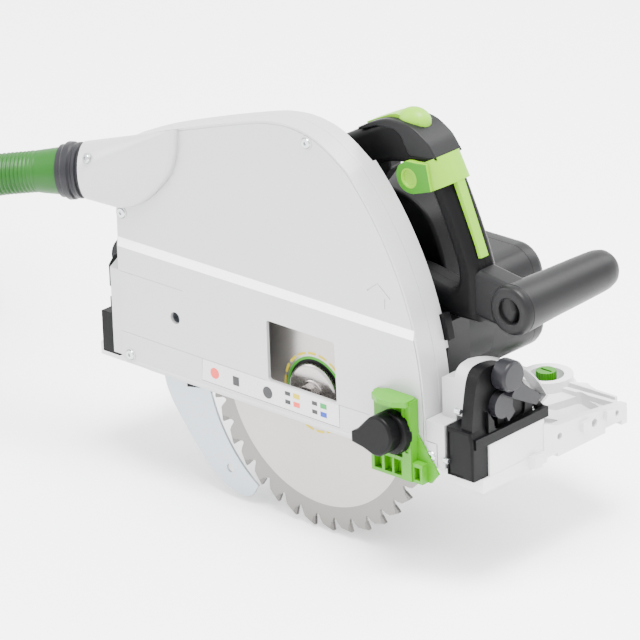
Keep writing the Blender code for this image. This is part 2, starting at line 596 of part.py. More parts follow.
def handle():
    outer = [(-16, 104), (18, 121.5), (40, 123.5), (66, 122), (90, 113.5), (106, 107.5), (131.5, 108.5),
             (131.5, 147), (126, 163), (117, 184), (107, 205), (98, 222), (90, 231.5), (77, 239.5), (53, 241),
             (27, 229), (-2, 213), (-38, 188), (-70, 157), (-86, 128), (-88, 100), (-72, 79), (-62, 78.5)]
    opening = [(-56, 112), (-38, 108), (-14, 122), (20, 134), (70, 134), (104, 128), (114, 135), (113, 150),
               (105, 171), (93, 196), (83, 210), (66, 212), (46, 207), (15, 189), (-22, 163), (-46, 138)]
    room = [(-60, 150), (-34, 178.5), (2, 203.5), (32, 220), (62, 226), (62, 219), (40, 211), (12, 195),
            (-24, 170), (-48, 144)]
    trigger_room = [(4, 204), (0, 194), (8, 176), (20, 182), (52, 204), (52, 220)]
    middle = HANDLE_SPLIT
    for side, low, high in (("near", HANDLE_NEAR, middle - 0.15), ("far", middle + 0.15, HANDLE_FAR)):
        shape = softened(prism("y", outer, low, high), low if side == "near" else high, HANDLE_EDGE)
        half = place(f"{side}_handle_shell", shape, "black", "plunge_axis")
        carve(half, prism("y", opening, 10, 70), prism("y", room, middle - 8.7, middle + 8.7),
              prism("y", trigger_room, middle - 6.8, middle + 6.8))
    trigger = [(48, 212), (30, 203.5), (8, 191), (6, 184), (12, 174), (20, 173), (36, 186), (50, 203)]
    place("trigger", prism("y", trigger[::-1], middle - 6.2, middle + 6.2), "black", "trigger_axis")
    block_outline = [(-24.5, 184), (-2.5, 199.2), (2, 190.6), (-20, 175.4)]
    place("switch_block", prism("y", block_outline[::-1], middle - 7.7, middle + 7.7), "dark_plastic",
          "plunge_axis")
    lock = [(30, 231), (53, 241.7), (76, 240.3), (75, 243.5), (67, 246.8), (57, 246.4), (51, 244.4),
            (30, 233.8)]
    place("switch_on_lock", prism("y", lock, middle - 7, middle + 7), "lime", "switch_lock_slide")
    band = [(98.7, 222.4), (107.9, 205.5), (111.2, 207.2), (101.8, 224.6)]
    low, high = HANDLE_NEAR - 2.9, HANDLE_FAR + 2.9
    lever = place("quick_change_lever", prism("y", band, low, high), "lime", "lever_axis")
    cheek = [(84, 216), (95.5, 197.5), (110, 204.8), (100.4, 223.8)]
    tab = [(68, 211), (71, 200), (83, 195), (96, 199), (86, 217), (75, 218)]
    tongue = [(107.4, 206.5), (117.8, 184.4), (126.8, 163.4), (129.6, 155.3), (131.8, 156),
              (120.2, 185.2), (110.6, 208)]
    carve(lever, prism("y", cheek, low, HANDLE_NEAR - 0.4), prism("y", cheek, HANDLE_FAR + 0.4, high),
          prism("y", tab, low - 1.8, low + 2), prism("y", tongue, middle - 6, middle + 6), fuse=True)
    profile = [(0, 22), (10, 22), (16, 22.6), (18, 24.6), (17.6, 40), (16.6, 60), (15.2, 118), (13.2, 126),
               (8, GRIP_END), (0, GRIP_END)]
    front = place("front_grip", turned(profile, (GRIP[0], 0, GRIP[1]), steps=28), "dark_plastic",
                  "plunge_axis")
    arm = [(131.8, 110), (162, 109), (162, 143), (131.8, 145)]
    carve(front, prism("y", arm, 25, 46), fuse=True)
    carve(front, rod(9.5, 15, 30, GRIP, 20))


# ---------------------------------------------------------------- dust hose

def stadium(radius):
    """The outline of a ring with two straight sides, round the coil's middle."""
    shift = COIL_STRAIGHT / 2
    right = arc((COIL.x + shift, COIL.y), radius, -90, 90, 18)
    return right + arc((COIL.x - shift, COIL.y), radius, 90, 270, 18)


def dust_hose():
    collar = [(16.3, -14), (19.4, -14), (19.4, 7), (20.4, 8), (20.4, 13), (19.4, 14), (19.4, 18.5),
              (16.3, 18.5)]
    place("dust_collar", turned(collar, PORT, PORT_OUT, 24), "grey", "bevel_axis")
    cuff = [(12.8, 2), (15.9, 2), (15.9, 32), (HOSE_R, 35), (12.8, 35)]
    place("hose_cuff", turned(cuff, PORT, PORT_OUT, 20), "hose_green", "bevel_axis")
    curve = bpy.data.curves.new("dust_hose", "CURVE")
    curve.dimensions = "3D"
    curve.bevel_depth = HOSE_R * MM
    curve.bevel_resolution = 3
    curve.use_fill_caps = True
    line = curve.splines.new("POLY")
    path = smooth_path(HOSE_ROUTE, 24)
    line.points.add(len(path) - 1)
    for point, where in zip(line.points, path):
        point.co = (*(where * MM), 1)
    curve.materials.append(LOOKS["hose_green"])
    hose = bpy.data.objects.new("dust_hose", curve)
    bpy.context.collection.objects.link(hose)
    hose.parent = PIVOTS["bevel_axis"][0]
    low, step, top = FLOOR + 0.2, COIL_TOP - 10, COIL_TOP
    coil = place("hose_coil", prism("z", stadium(COIL_R + HOSE_R), low, step), "hose_green", "bevel_axis")
    carve(coil, prism("z", stadium(COIL_R + 8), step - 2, top), fuse=True)
    carve(coil, prism("z", stadium(COIL_R - HOSE_R), low - 5, step),
          prism("z", stadium(COIL_R - 8), step - 5, top + 5))
    right, near = COIL.x + COIL_STRAIGHT / 2, COIL.y - COIL_R
    last_turn = sector((right, COIL.y), COIL_R - 13, COIL_R + 13, -90, 30, 12)
    end_run = block((COIL.x, right + 1), (near - 13, near + 13), (COIL_TOP - 6, COIL_LIFT + HOSE_R))
    carve(coil, prism("z", last_turn, COIL_TOP - 6, COIL_LIFT + HOSE_R), end_run, fuse=True)
    under = FLOOR + 2 * HOSE_R + 5.5
    carve(coil, block((right - 2, right + 160), (near - 30, near + 24), (FLOOR - 5, under)))
    carve(coil, block((right + 40, right + 200), (near - 30, near + 60), (FLOOR - 5, under + 32)))
    tip = Vector((COIL.x - GAP, near, COIL_LIFT))
    connector = [(12, 0), (17, 0), (18, 4), (18, 46), (16.4, 50), (16.4, 72), (13.6, 72), (13.6, 8), (12, 6)]
    place("hose_connector", turned(connector, tip, (-1, 0, 0), 20), "black", "bevel_axis")


clear_scene()
LOOKS = {
    "cast_white": material("cast_white", (0.82, 0.83, 0.83), 0.45, 0.1),
    "guard_silver": material("guard_silver", (0.66, 0.67, 0.68), 0.38, 0.5),
    "magnesium": material("magnesium", (0.05, 0.05, 0.055), 0.5, 0.3),
    "black": material("black", (0.02, 0.02, 0.022), 0.5),
    "dark_plastic": material("dark_plastic", (0.05, 0.05, 0.055), 0.45),
    "grey": material("grey", (0.09, 0.09, 0.1), 0.5),
    "lime": material("lime", (0.35, 0.65, 0.06), 0.4),
    "green": material("green", (0.2, 0.45, 0.04), 0.45),
    "splinter_green": material("splinter_green", (0.16, 0.45, 0.02), 0.4),
    "hose_green": material("hose_green", (0.04, 0.26, 0.02), 0.45),
    "blade_steel": material("blade_steel", (0.55, 0.55, 0.54), 0.3, 0.95),
    "steel": material("steel", (0.6, 0.6, 0.6), 0.28, 0.95),
    "dark_steel": material("dark_steel", (0.25, 0.25, 0.26), 0.35, 0.95),
    "zinc": material("zinc", (0.7, 0.72, 0.74), 0.25, 0.95),
    "brass": material("brass", (0.6, 0.4, 0.15), 0.35, 0.95),
}
pivot("saw", (0, 0, 0))
for cam_name, cam_x in zip(("front_guide_cam", "rear_guide_cam"), CAM_X):
    pivot(f"{cam_name}_axis", (cam_x, CAM_Y, 0), "saw")
pivot("front_bevel_axis", (158, *CLAMP), "saw")
pivot("rear_bevel_axis", (-197, *CLAMP), "saw")
pivot("bevel_axis", (0, 0, 0), "saw")
pivot("depth_stop_axis", (PIVOT[0], 15, PIVOT[1]), "bevel_axis")
pivot("splinter_slide", (88, -20, 0), "bevel_axis")
pivot("splinter_knob_axis", (96, -20, 35), "splinter_slide")
pivot("plunge_axis", (PIVOT[0], 0, PIVOT[1]), "bevel_axis")
pivot("blade_axis", (SPINDLE[0], 0, SPINDLE[1]), "plunge_axis")
pivot("knife_axis", (SPINDLE[0], 0, SPINDLE[1]), "plunge_axis")
pivot("middle_axis", (MIDDLE[0], 0, MIDDLE[1]), "plunge_axis")
pivot("motor_axis", (MOTOR[0], 0, MOTOR[1]), "plunge_axis")
pivot("speed_dial_axis", (MOTOR[0] - 8, 160, MOTOR[1] + 6), "plunge_axis")
pivot("trigger_axis", (50, HANDLE_SPLIT, 210), "plunge_axis")
pivot("switch_lock_slide", (53, HANDLE_SPLIT, 243), "plunge_axis")
pivot("lever_axis", (98.5, HANDLE_SPLIT, 223), "plunge_axis")

base()
quadrants()
bevel_clamps()
tilt_brackets()
guard()
splinter_guard()
drive()
motor()
gear_housing()
riving_knife()
handle()
dust_hose()
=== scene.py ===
"""Looks of the track plunge saw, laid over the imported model.

Drawn in millimetres from the blade, as the frame is: X forward, Y from the guard towards the motor,
Z up from the sole. Each piece rides on one of the frame's bodies and stands for its nodes.
"""

import json
import math

import bmesh
import bpy
import numpy as np
from mathutils import Matrix, Vector


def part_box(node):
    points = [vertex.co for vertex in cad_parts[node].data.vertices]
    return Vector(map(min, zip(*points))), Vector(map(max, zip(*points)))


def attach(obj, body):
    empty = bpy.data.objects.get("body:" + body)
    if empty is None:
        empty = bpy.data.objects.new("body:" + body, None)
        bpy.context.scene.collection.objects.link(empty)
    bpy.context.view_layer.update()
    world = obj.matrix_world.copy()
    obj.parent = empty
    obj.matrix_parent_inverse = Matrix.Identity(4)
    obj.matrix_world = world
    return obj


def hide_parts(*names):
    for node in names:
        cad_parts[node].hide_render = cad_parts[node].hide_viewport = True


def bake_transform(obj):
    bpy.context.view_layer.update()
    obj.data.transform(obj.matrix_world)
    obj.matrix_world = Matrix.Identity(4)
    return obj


MM = 0.001
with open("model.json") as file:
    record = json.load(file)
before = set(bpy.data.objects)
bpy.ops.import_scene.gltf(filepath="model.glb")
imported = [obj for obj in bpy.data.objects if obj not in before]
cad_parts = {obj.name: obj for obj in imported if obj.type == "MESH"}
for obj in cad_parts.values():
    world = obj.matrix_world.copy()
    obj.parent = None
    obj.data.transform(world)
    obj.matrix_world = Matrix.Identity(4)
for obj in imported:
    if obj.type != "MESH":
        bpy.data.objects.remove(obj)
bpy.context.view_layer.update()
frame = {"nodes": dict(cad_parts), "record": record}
BLADE_LOW, BLADE_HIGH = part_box("saw_blade")
SAW_Y = (BLADE_LOW[1] + BLADE_HIGH[1]) / 2
PLACE = Matrix.Translation((0, SAW_Y, 0)) @ Matrix.Scale(MM, 4)

BLADE_R = 105
SPINDLE = (0, 30)
PIVOT = (-122, 48)
MOTOR = (43, 74)
CLAMP = (17, 81.5)
CLAMP_R = math.hypot(*CLAMP)
CLAMP_DEG = math.degrees(math.atan2(CLAMP[1], CLAMP[0]))
GRIP = (162, 126)
CAM_Y = 147
CAM_X = (88, -150)
COVER_Y, SEAM_Y, SHELL_Y = -17, -1.5, 10.5
HOOD_R = 239.7
HOOD_BOTTOM, HOOD_REAR, HOOD_FRONT = 13, -178, 118
WALL = 2.5
MARK_Y = (-17.6, -17.3)
WINDOW = (-31, 35, 37, 83)
HANDLE_NEAR, HANDLE_SPLIT, HANDLE_FAR = 22.5, 35.2, 48
MOTOR_HALF = 39.5
DIAL = (MOTOR[0] - 8, MOTOR[1] + 6)
TEETH, TOOTH_PHASE = 36, 6.34
PORT = Vector((-208, -14, 154))
PORT_OUT = Vector((-0.893, -0.441, -0.1)).normalized()
HOSE_R = 15.5
FLOOR = -77
CAMERA_AT = (2.24153, -2.36823, 1.44404)
CAMERA_TURN = (43.36, 22.62, -1.99)
CAMERA_LENS = 281.85
COIL = Vector((-617, 20.5, 0))
COIL_R = 134
COIL_STRAIGHT = 88
COIL_LIFT = 34.3
HOSE_ROUTE = [
    (-242.6, -31, 150.2),
    (-277.1, -48.1, 143),
    (-309, -64, 129),
    (-337.6, -77.8, 108.8),
    (-363.5, -89.3, 83.1),
    (-387.6, -98.2, 54.1),
    (-411.1, -104.6, 24.5),
    (-436.1, -108.9, -3.7),
    (-465.4, -111.6, -29),
    (-498.6, -112.9, -47.5),
    (-535.5, -113.4, -58.2),
    (-573, -113.5, -61.3),
]


# ---------------- camera, floor and light

def camera():
    """A long lens in front of the saw; its place is in metres from the blade, and its turns in degrees."""
    azimuth, elevation, roll = (math.radians(a) for a in CAMERA_TURN)
    forward = Vector((-math.sin(azimuth) * math.cos(elevation), math.cos(azimuth) * math.cos(elevation),
                      -math.sin(elevation)))
    right = forward.cross(Vector((0, 0, 1))).normalized()
    up = right.cross(forward)
    level = math.cos(roll) * right + math.sin(roll) * up
    top = -math.sin(roll) * right + math.cos(roll) * up
    data = bpy.data.cameras.new("camera")
    data.lens = CAMERA_LENS
    data.sensor_width = 36
    data.clip_end = 50
    item = bpy.data.objects.new("camera", data)
    bpy.context.scene.collection.objects.link(item)
    place = Matrix.Translation((CAMERA_AT[0], CAMERA_AT[1] + SAW_Y, CAMERA_AT[2]))
    item.matrix_world = place @ Matrix((level, top, -forward)).transposed().to_4x4()
    bpy.context.scene.camera = item


def put(node, values):
    """Set a shader node's inputs by name."""
    for name, value in values.items():
        node.inputs[name].default_value = value


def studio():
    """A pale floor, an even sky and three soft lamps."""
    bpy.ops.mesh.primitive_plane_add(size=30, location=(0, 0, FLOOR * MM - 0.0002))
    floor = bpy.context.object
    floor.name = "floor"
    paper = bpy.data.materials.new("paper")
    paper.use_nodes = True
    put(paper.node_tree.nodes["Principled BSDF"], {"Base Color": (0.94, 0.94, 0.94, 1), "Roughness": 0.9})
    floor.data.materials.append(paper)
    world = bpy.data.worlds.new("sky")
    world.use_nodes = True
    put(world.node_tree.nodes["Background"], {"Color": (1, 1, 1, 1), "Strength": 3.2})
    bpy.context.scene.world = world
    lamps = (("key", (0.5, -0.4, 2.4), 1.2, 230), ("left", (-1.9, -1.5, 1.2), 1.2, 40),
             ("rear", (0.6, 2.0, 1.8), 1.4, 60))
    for name, place, size, power in lamps:
        lamp = bpy.data.lights.new(name, "AREA")
        lamp.energy = power
        lamp.size = size
        item = bpy.data.objects.new(name, lamp)
        item.location = place
        item.rotation_euler = (Vector((0, SAW_Y, 0.08)) - Vector(place)).to_track_quat("-Z", "Y").to_euler()
        bpy.context.scene.collection.objects.link(item)


# ---------------- materials

LOOKS = {}


def finish(name, colour, roughness, metallic=0.0, grain=1400, bump=0.02, shade=0.08, streak=None, shine=0.5):
    """A finish with fine texture, soft broad variation and, for ground steel, streaks round an axis."""
    made = bpy.data.materials.new(name)
    made.use_nodes = True
    tree = made.node_tree
    node = tree.nodes.new
    link = tree.links.new
    shader = tree.nodes["Principled BSDF"]
    put(shader, {"Metallic": metallic, "Specular IOR Level": shine})
    place = node("ShaderNodeTexCoord")
    fine = node("ShaderNodeTexNoise")
    put(fine, {"Scale": grain, "Detail": 3})
    broad = node("ShaderNodeTexNoise")
    put(broad, {"Scale": 22, "Detail": 4})
    for noise in (fine, broad):
        link(place.outputs["Object"], noise.inputs["Vector"])
    if streak:
        link(rings_round(tree, streak, place), fine.inputs["Vector"])
    tint = node("ShaderNodeMix")
    tint.data_type = "RGBA"
    put(tint, {"A": (*[c * (1 - shade) for c in colour], 1),
               "B": (*[min(1, c * (1 + shade)) for c in colour], 1)})
    link(broad.outputs["Fac"], tint.inputs["Factor"])
    link(tint.outputs["Result"], shader.inputs["Base Color"])
    dull = node("ShaderNodeMapRange")
    put(dull, {"From Min": 0.3, "From Max": 0.7, "To Min": max(0.02, roughness - 0.06),
               "To Max": roughness + 0.06})
    link(fine.outputs["Fac"], dull.inputs["Value"])
    link(dull.outputs["Result"], shader.inputs["Roughness"])
    if bump:
        relief = node("ShaderNodeBump")
        put(relief, {"Strength": 0.4, "Distance": bump * MM})
        link(fine.outputs["Fac"], relief.inputs["Height"])
        link(relief.outputs["Normal"], shader.inputs["Normal"])
    LOOKS[name] = made


def rings_round(tree, centre, place):
    """Coordinates that change only with the distance from an axis along Y."""
    link = tree.links.new
    source = place.outputs["Object"]
    for operation, value in (("SUBTRACT", (centre[0] * MM, 0, centre[1] * MM)), ("MULTIPLY", (1, 0, 1)),
                             ("LENGTH", (0, 0, 0))):
        step = tree.nodes.new("ShaderNodeVectorMath")
        step.operation = operation
        step.inputs[1].default_value = value
        link(source, step.inputs[0])
        source = step.outputs["Value" if operation == "LENGTH" else "Vector"]
    out = tree.nodes.new("ShaderNodeCombineXYZ")
    link(source, out.inputs["X"])
    return out.outputs["Vector"]


# ---------------- shape helpers

def on_axis(axis, a, b, along):
    return {"x": (along, a, b), "y": (a, along, b), "z": (a, b, along)}[axis]


def prism(axis, outline, low, high):
    """An outline in the plane across an axis, drawn out from low to high."""
    shape = bmesh.new()
    ring = [shape.verts.new(on_axis(axis, a, b, low)) for a, b in outline]
    face = shape.faces.new(ring)
    out = bmesh.ops.extrude_face_region(shape, geom=[face])
    moved = [v for v in out["geom"] if isinstance(v, bmesh.types.BMVert)]
    bmesh.ops.translate(shape, verts=moved, vec=on_axis(axis, 0, 0, high - low))
    return shape


def block(x, y, z):
    return prism("z", [(x[0], y[0]), (x[1], y[0]), (x[1], y[1]), (x[0], y[1])], *z)


def turned(profile, centre, direction=(0, 1, 0), steps=64):
    """A closed (radius, along) profile turned about an axis through centre."""
    shape = bmesh.new()
    turn = Vector((0, 0, 1)).rotation_difference(Vector(direction).normalized()).to_matrix().to_4x4()
    rings = []
    for radius, along in profile:
        count = 1 if radius == 0 else steps
        angles = [2 * math.pi * k / steps for k in range(count)]
        rings.append([shape.verts.new((radius * math.cos(a), radius * math.sin(a), along)) for a in angles])
    for first, second in zip(rings, rings[1:] + rings[:1]):
        if len(first) == 1 and len(second) == 1:
            continue
        for k in range(steps):
            n = (k + 1) % steps
            corners = [first[k % len(first)], first[n % len(first)],
                       second[n % len(second)], second[k % len(second)]]
            shape.faces.new(list(dict.fromkeys(corners)))
    shape.transform(Matrix.Translation(centre) @ turn)
    return shape


def rod(radius, low, high, at, steps=48):
    """A plain cylinder along Y."""
    return turned([(0, low), (radius, low), (radius, high), (0, high)], (at[0], 0, at[1]), steps=steps)


def pipe(outer, inner, low, high, at, steps=64):
    return turned([(inner, low), (outer, low), (outer, high), (inner, high)], (at[0], 0, at[1]), steps=steps)


def rod_x(radius, low, high, at, steps=40):
    return turned([(0, low), (radius, low), (radius, high), (0, high)], (0, at[0], at[1]), (1, 0, 0), steps)


def rod_z(radius, low, high, at, steps=40):
    return turned([(0, low), (radius, low), (radius, high), (0, high)], (*at, 0), (0, 0, 1), steps)


def arc(centre, radius, start, end, steps):
    turns = [math.radians(start + (end - start) * k / steps) for k in range(steps + 1)]
    return [(centre[0] + radius * math.cos(t), centre[1] + radius * math.sin(t)) for t in turns]


def sector(centre, inner, outer, start, end, steps):
    return arc(centre, outer, start, end, steps) + arc(centre, inner, end, start, steps)


def rounded(outline, radius, steps=4):
    """The outline with each corner rounded."""
    made = []
    count = len(outline)
    for k, here in enumerate(outline):
        here = Vector(here)
        before, after = Vector(outline[k - 1]), Vector(outline[(k + 1) % count])
        one, two = (before - here), (after - here)
        bend = one.angle(two, math.pi)
        if bend > math.radians(172):
            made.append(tuple(here))
            continue
        reach = min(radius / math.tan(bend / 2), one.length * 0.45, two.length * 0.45)
        first, last = here + one.normalized() * reach, here + two.normalized() * reach
        for s in range(steps + 1):
            t = s / steps
            made.append(tuple((1 - t) ** 2 * first + 2 * (1 - t) * t * here + t * t * last))
    return made


def inset(outline, depth):
    """The outline moved inwards by depth; it runs anticlockwise."""
    moved = []
    for before, here, after in zip(outline[-1:] + outline[:-1], outline, outline[1:] + outline[:1]):
        one = (Vector(here) - Vector(before)).normalized()
        two = (Vector(after) - Vector(here)).normalized()
        normal = Vector((-one.y - two.y, one.x + two.x)).normalized()
        reach = depth / max(0.35, normal.dot(Vector((-one.y, one.x))))
        moved.append((here[0] + normal.x * reach, here[1] + normal.y * reach))
    return moved


def solid_between(rings):
    """The convex solid around rings of points."""
    shape = bmesh.new()
    for ring in rings:
        for point in ring:
            shape.verts.new(point)
    made = bmesh.ops.convex_hull(shape, input=shape.verts)
    loose = {v for v in made["geom_interior"] + made["geom_unused"] if isinstance(v, bmesh.types.BMVert)}
    bmesh.ops.delete(shape, geom=list(loose), context="VERTS")
    return shape


def smooth_path(points, spacing):
    """Points along a smooth curve through the route's own points."""
    route = [Vector(p) for p in points]
    ends = [2 * route[0] - route[1]] + route + [2 * route[-1] - route[-2]]
    path = []
    for a, b, c, d in zip(ends, ends[1:], ends[2:], ends[3:]):
        steps = max(1, round((c - b).length / spacing))
        for k in range(steps):
            t = k / steps
            cubic = (2 * b + (c - a) * t + (2 * a - 5 * b + 4 * c - d) * t * t
                     + (3 * b - a - 3 * c + d) * t * t * t)
            path.append(cubic / 2)
    return path + [route[-1]]


def tube(path, radii, steps=24):
    """A closed tube round a path, with its own radius at each point."""
    shape = bmesh.new()
    path = [Vector(p) for p in path]
    ahead = [(b - a).normalized() for a, b in zip(path, path[1:])]
    ahead = [ahead[0]] + [(a + b).normalized() for a, b in zip(ahead, ahead[1:])] + [ahead[-1]]
    side = ahead[0].orthogonal().normalized()
    rings = []
    for point, direction, radius in zip(path, ahead, radii):
        side = (side - direction * side.dot(direction)).normalized()
        other = direction.cross(side)
        angles = [2 * math.pi * k / steps for k in range(steps)]
        rings.append([shape.verts.new(point + float(radius) * (side * math.cos(a) + other * math.sin(a)))
                      for a in angles])
    for first, second in zip(rings, rings[1:]):
        for k in range(steps):
            n = (k + 1) % steps
            shape.faces.new([first[k], first[n], second[n], second[k]])
    shape.faces.new(rings[0][::-1])
    shape.faces.new(rings[-1])
    return shape


def loose(name, shape):
    """An object, in the row frame, from a shape in saw millimetres."""
    shape.transform(PLACE)
    bmesh.ops.recalc_face_normals(shape, faces=shape.faces)
    mesh = bpy.data.meshes.new(name)
    shape.to_mesh(mesh)
    shape.free()
    item = bpy.data.objects.new(name, mesh)
    bpy.context.scene.collection.objects.link(item)
    return item


def bake(item):
    """Turn an object's modifiers into its mesh."""
    bpy.context.view_layer.update()
    evaluated = item.evaluated_get(bpy.context.evaluated_depsgraph_get())
    mesh = bpy.data.meshes.new_from_object(evaluated)
    item.modifiers.clear()
    item.data = mesh


def piece(name, shape, look, body, *nodes, fuse=(), cut=(), bevel=0.4, segments=2, sharp=38, cad_slot=None):
    """One visual piece: shapes fused and cut, its edges broken, riding on a body for some nodes."""
    item = loose(name, shape)
    tools = []
    for operation, shapes in (("UNION", fuse), ("DIFFERENCE", cut)):
        for number, tool in enumerate(shapes):
            helper = loose(f"{name}_{operation}_{number}", tool)
            helper.hide_render = True
            change = item.modifiers.new("shape", "BOOLEAN")
            change.operation = operation
            change.solver = "EXACT"
            change.object = helper
            tools.append(helper)
    if tools:
        bake(item)
    for helper in tools:
        bpy.data.objects.remove(helper, do_unlink=True)
    if bevel:
        edge = item.modifiers.new("edge", "BEVEL")
        edge.width = bevel * MM
        edge.segments = segments
        edge.limit_method = "ANGLE"
        edge.angle_limit = math.radians(sharp)
        edge.use_clamp_overlap = True
        edge.miter_outer = "MITER_ARC"
        bake(item)
    item.data.shade_smooth()
    item.data.set_sharp_from_angle(angle=math.radians(sharp))
    even = item.modifiers.new("normals", "WEIGHTED_NORMAL")
    even.keep_sharp = True
    item.data.materials.clear()
    item.data.materials.append(LOOKS[look])
    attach(item, body)
    if nodes:
        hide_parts(*nodes)
    return item


def dress(node, look, bevel=0.35, segments=2):
    """Keep a CAD node, with broken edges and a finer finish."""
    item = frame["nodes"][node]
    weld = item.modifiers.new("weld", "WELD")
    weld.merge_threshold = 0.00001
    flat = item.modifiers.new("flat", "DECIMATE")
    flat.decimate_type = "DISSOLVE"
    flat.angle_limit = math.radians(0.5)
    edge = item.modifiers.new("edge", "BEVEL")
    edge.width = bevel * MM
    edge.segments = segments
    edge.limit_method = "ANGLE"
    edge.angle_limit = math.radians(40)
    for slot in item.material_slots:
        slot.link = "OBJECT"
        slot.material = LOOKS[look]


def smooth_line(points, spacing=4):
    """A flat outline's smooth stretch."""
    return [(p.x, p.y) for p in smooth_path([(a, b, 0) for a, b in points], spacing)]


def stroke(points, width, low, high):
    """A band of even width along an open line across Y."""
    line = [Vector(p) for p in points]
    sides = ([], [])
    for k, here in enumerate(line):
        ahead = (line[min(k + 1, len(line) - 1)] - line[max(k - 1, 0)]).normalized()
        normal = Vector((-ahead.y, ahead.x)) * width / 2
        sides[0].append(tuple(here + normal))
        sides[1].append(tuple(here - normal))
    return prism("y", sides[0] + sides[1][::-1], low, high)


def joined(*shapes):
    """Several shapes as one mesh."""
    whole = bmesh.new()
    for shape in shapes:
        mesh = bpy.data.meshes.new("part")
        bmesh.ops.recalc_face_normals(shape, faces=shape.faces)
        shape.to_mesh(mesh)
        shape.free()
        whole.from_mesh(mesh)
        bpy.data.meshes.remove(mesh)
    return whole


def softened(shape, face_y, width, segments=5):
    """Round the rim of the face that lies at face_y."""
    rim = [edge for edge in shape.edges if all(abs(v.co.y - face_y) < 1e-6 for v in edge.verts)]
    bmesh.ops.bevel(shape, geom=rim, offset=width, segments=segments, profile=0.5, affect="EDGES",
                    clamp_overlap=True)
    return shape


def pillow(outline, low, high, *rims):
    """An outline drawn out along Y, with its rims (y, width, segments) rounded in turn."""
    shape = prism("y", outline, low, high)
    for rim in rims:
        softened(shape, *rim)
    return shape


def knurled(centre, inner, outer, count):
    """The outline of a wheel with fine teeth round its rim."""
    points = []
    for k in range(count):
        angle = 2 * math.pi * k / count
        radius = outer if k % 2 else inner
        points.append((centre[0] + radius * math.cos(angle), centre[1] + radius * math.sin(angle)))
    return points


def rounded_square(centre, half, corner, steps=8):
    points = []
    for k, (side_x, side_z) in enumerate(((1, 1), (-1, 1), (-1, -1), (1, -1))):
        middle = (centre[0] + side_x * (half - corner), centre[1] + side_z * (half - corner))
        points += arc(middle, corner, 90 * k, 90 * k + 90, steps)
    return points


# ---------------- dust hose

def hose_path():
    """The hose's centreline: down to the floor, then three stacked turns that climb at the right end."""
    path = smooth_path(HOSE_ROUTE, 6)
    half, bend = COIL_STRAIGHT / 2, math.pi * COIL_R
    around = 2 * (COIL_STRAIGHT + bend)
    steps = 234
    for k in range(1, steps + 1):
        layer, along = divmod(3 * around * k / steps - 1e-6, around)
        share = along / around
        climb = min(1, max(0, (share - 0.56) / 0.3))
        climb = climb * climb * (3 - 2 * climb)
        height = FLOOR + HOSE_R + 0.2 + 2 * HOSE_R * (layer + climb)
        if layer == 2:
            height += climb * (COIL_LIFT - (FLOOR + HOSE_R + 0.2 + 6 * HOSE_R))
        if along < COIL_STRAIGHT:
            x, y = half - along, -COIL_R
        elif along < COIL_STRAIGHT + bend:
            turn = -math.pi / 2 - (along - COIL_STRAIGHT) / COIL_R
            x, y = COIL_R * math.cos(turn) - half, COIL_R * math.sin(turn)
        elif along < 2 * COIL_STRAIGHT + bend:
            x, y = along - COIL_STRAIGHT - bend - half, COIL_R
        else:
            turn = math.pi / 2 - (along - 2 * COIL_STRAIGHT - bend) / COIL_R
            x, y = COIL_R * math.cos(turn) + half, COIL_R * math.sin(turn)
        path.append(Vector((COIL.x + x, COIL.y + y, height)))
    return path + [path[-1] - Vector((half, 0, 0))]


def resampled(path, spacing):
    """The path's points at even steps, and the distance of each from the start."""
    points = np.array([tuple(p) for p in path])
    away = np.concatenate([[0], np.cumsum(np.linalg.norm(np.diff(points, axis=0), axis=1))])
    steps = np.linspace(0, away[-1], round(away[-1] / spacing) + 1)
    even = np.stack([np.interp(steps, away, points[:, k]) for k in range(3)], axis=1)
    return [Vector(p) for p in even], steps


def hose():
    start = PORT + PORT_OUT * 20
    path, away = resampled([start + PORT_OUT * k for k in (0, 6, 12)] + hose_path(), 0.8)
    radii = []
    for distance in away:
        groove = 0.5 + 0.5 * math.cos(2 * math.pi * distance / 3.2)
        depth = 2.2 * min(1, max(0, (distance - 12) / 22))
        flare = 1.3 * max(0, 1 - distance / 26) ** 1.5
        radii.append(HOSE_R - depth * groove ** 2 + flare * 0.3)
    item = loose("dust_hose_skin", tube(path, radii, 28))
    item.data.shade_smooth()
    item.data.materials.append(LOOKS["hose_green"])
    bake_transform(item)
    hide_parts("dust_hose", "hose_coil")
    sleeve = [(12.9, 1), (16.2, 1), (17.6, 12), (17.2, 22), (16.1, 33), (15.7, 36), (15.2, 36), (12.9, 30)]
    cuff = piece("hose_sleeve", turned(sleeve, PORT, PORT_OUT, 72), "hose_green", "guard", "hose_cuff",
                 bevel=0)
    collar = [(16.6, -14), (20.2, -14), (20.4, -1), (19.2, 0.2), (19.2, 2.4), (20.6, 3.4), (20.6, 5.5),
              (19.8, 6.4), (19.8, 8), (21.2, 9.2), (21.4, 13), (20.6, 14.4), (19.6, 15), (19.4, 18.5),
              (17.9, 18.8), (17.2, 16), (16.6, 12)]
    piece("port_collar", turned(collar, PORT, PORT_OUT, 72), "grey", "guard", "dust_collar", bevel=0)
    tip = Vector((COIL.x - 0.3, COIL.y - COIL_R, COIL_LIFT))
    body = [(12.2, 0), (16.6, 0), (17.6, 1.5), (17.6, 6)]
    for k in range(6):
        low = 8 + 5.4 * k
        body += [(17.8, low), (18.2, low + 1), (18.2, low + 3), (17.4, low + 3.6)]
    body += [(17.6, 45), (16.9, 48), (16.4, 50), (16.2, 70), (15.6, 71.8), (14.2, 71.8), (13.7, 70),
             (13.6, 8), (12.2, 6)]
    end = piece("hose_end_fitting", turned(body, tip, (-1, 0, 0), 64), "black", "base", "hose_connector",
                bevel=0)
    print("hose length", round(float(away[-1])), "mm")


# ---------------- guard

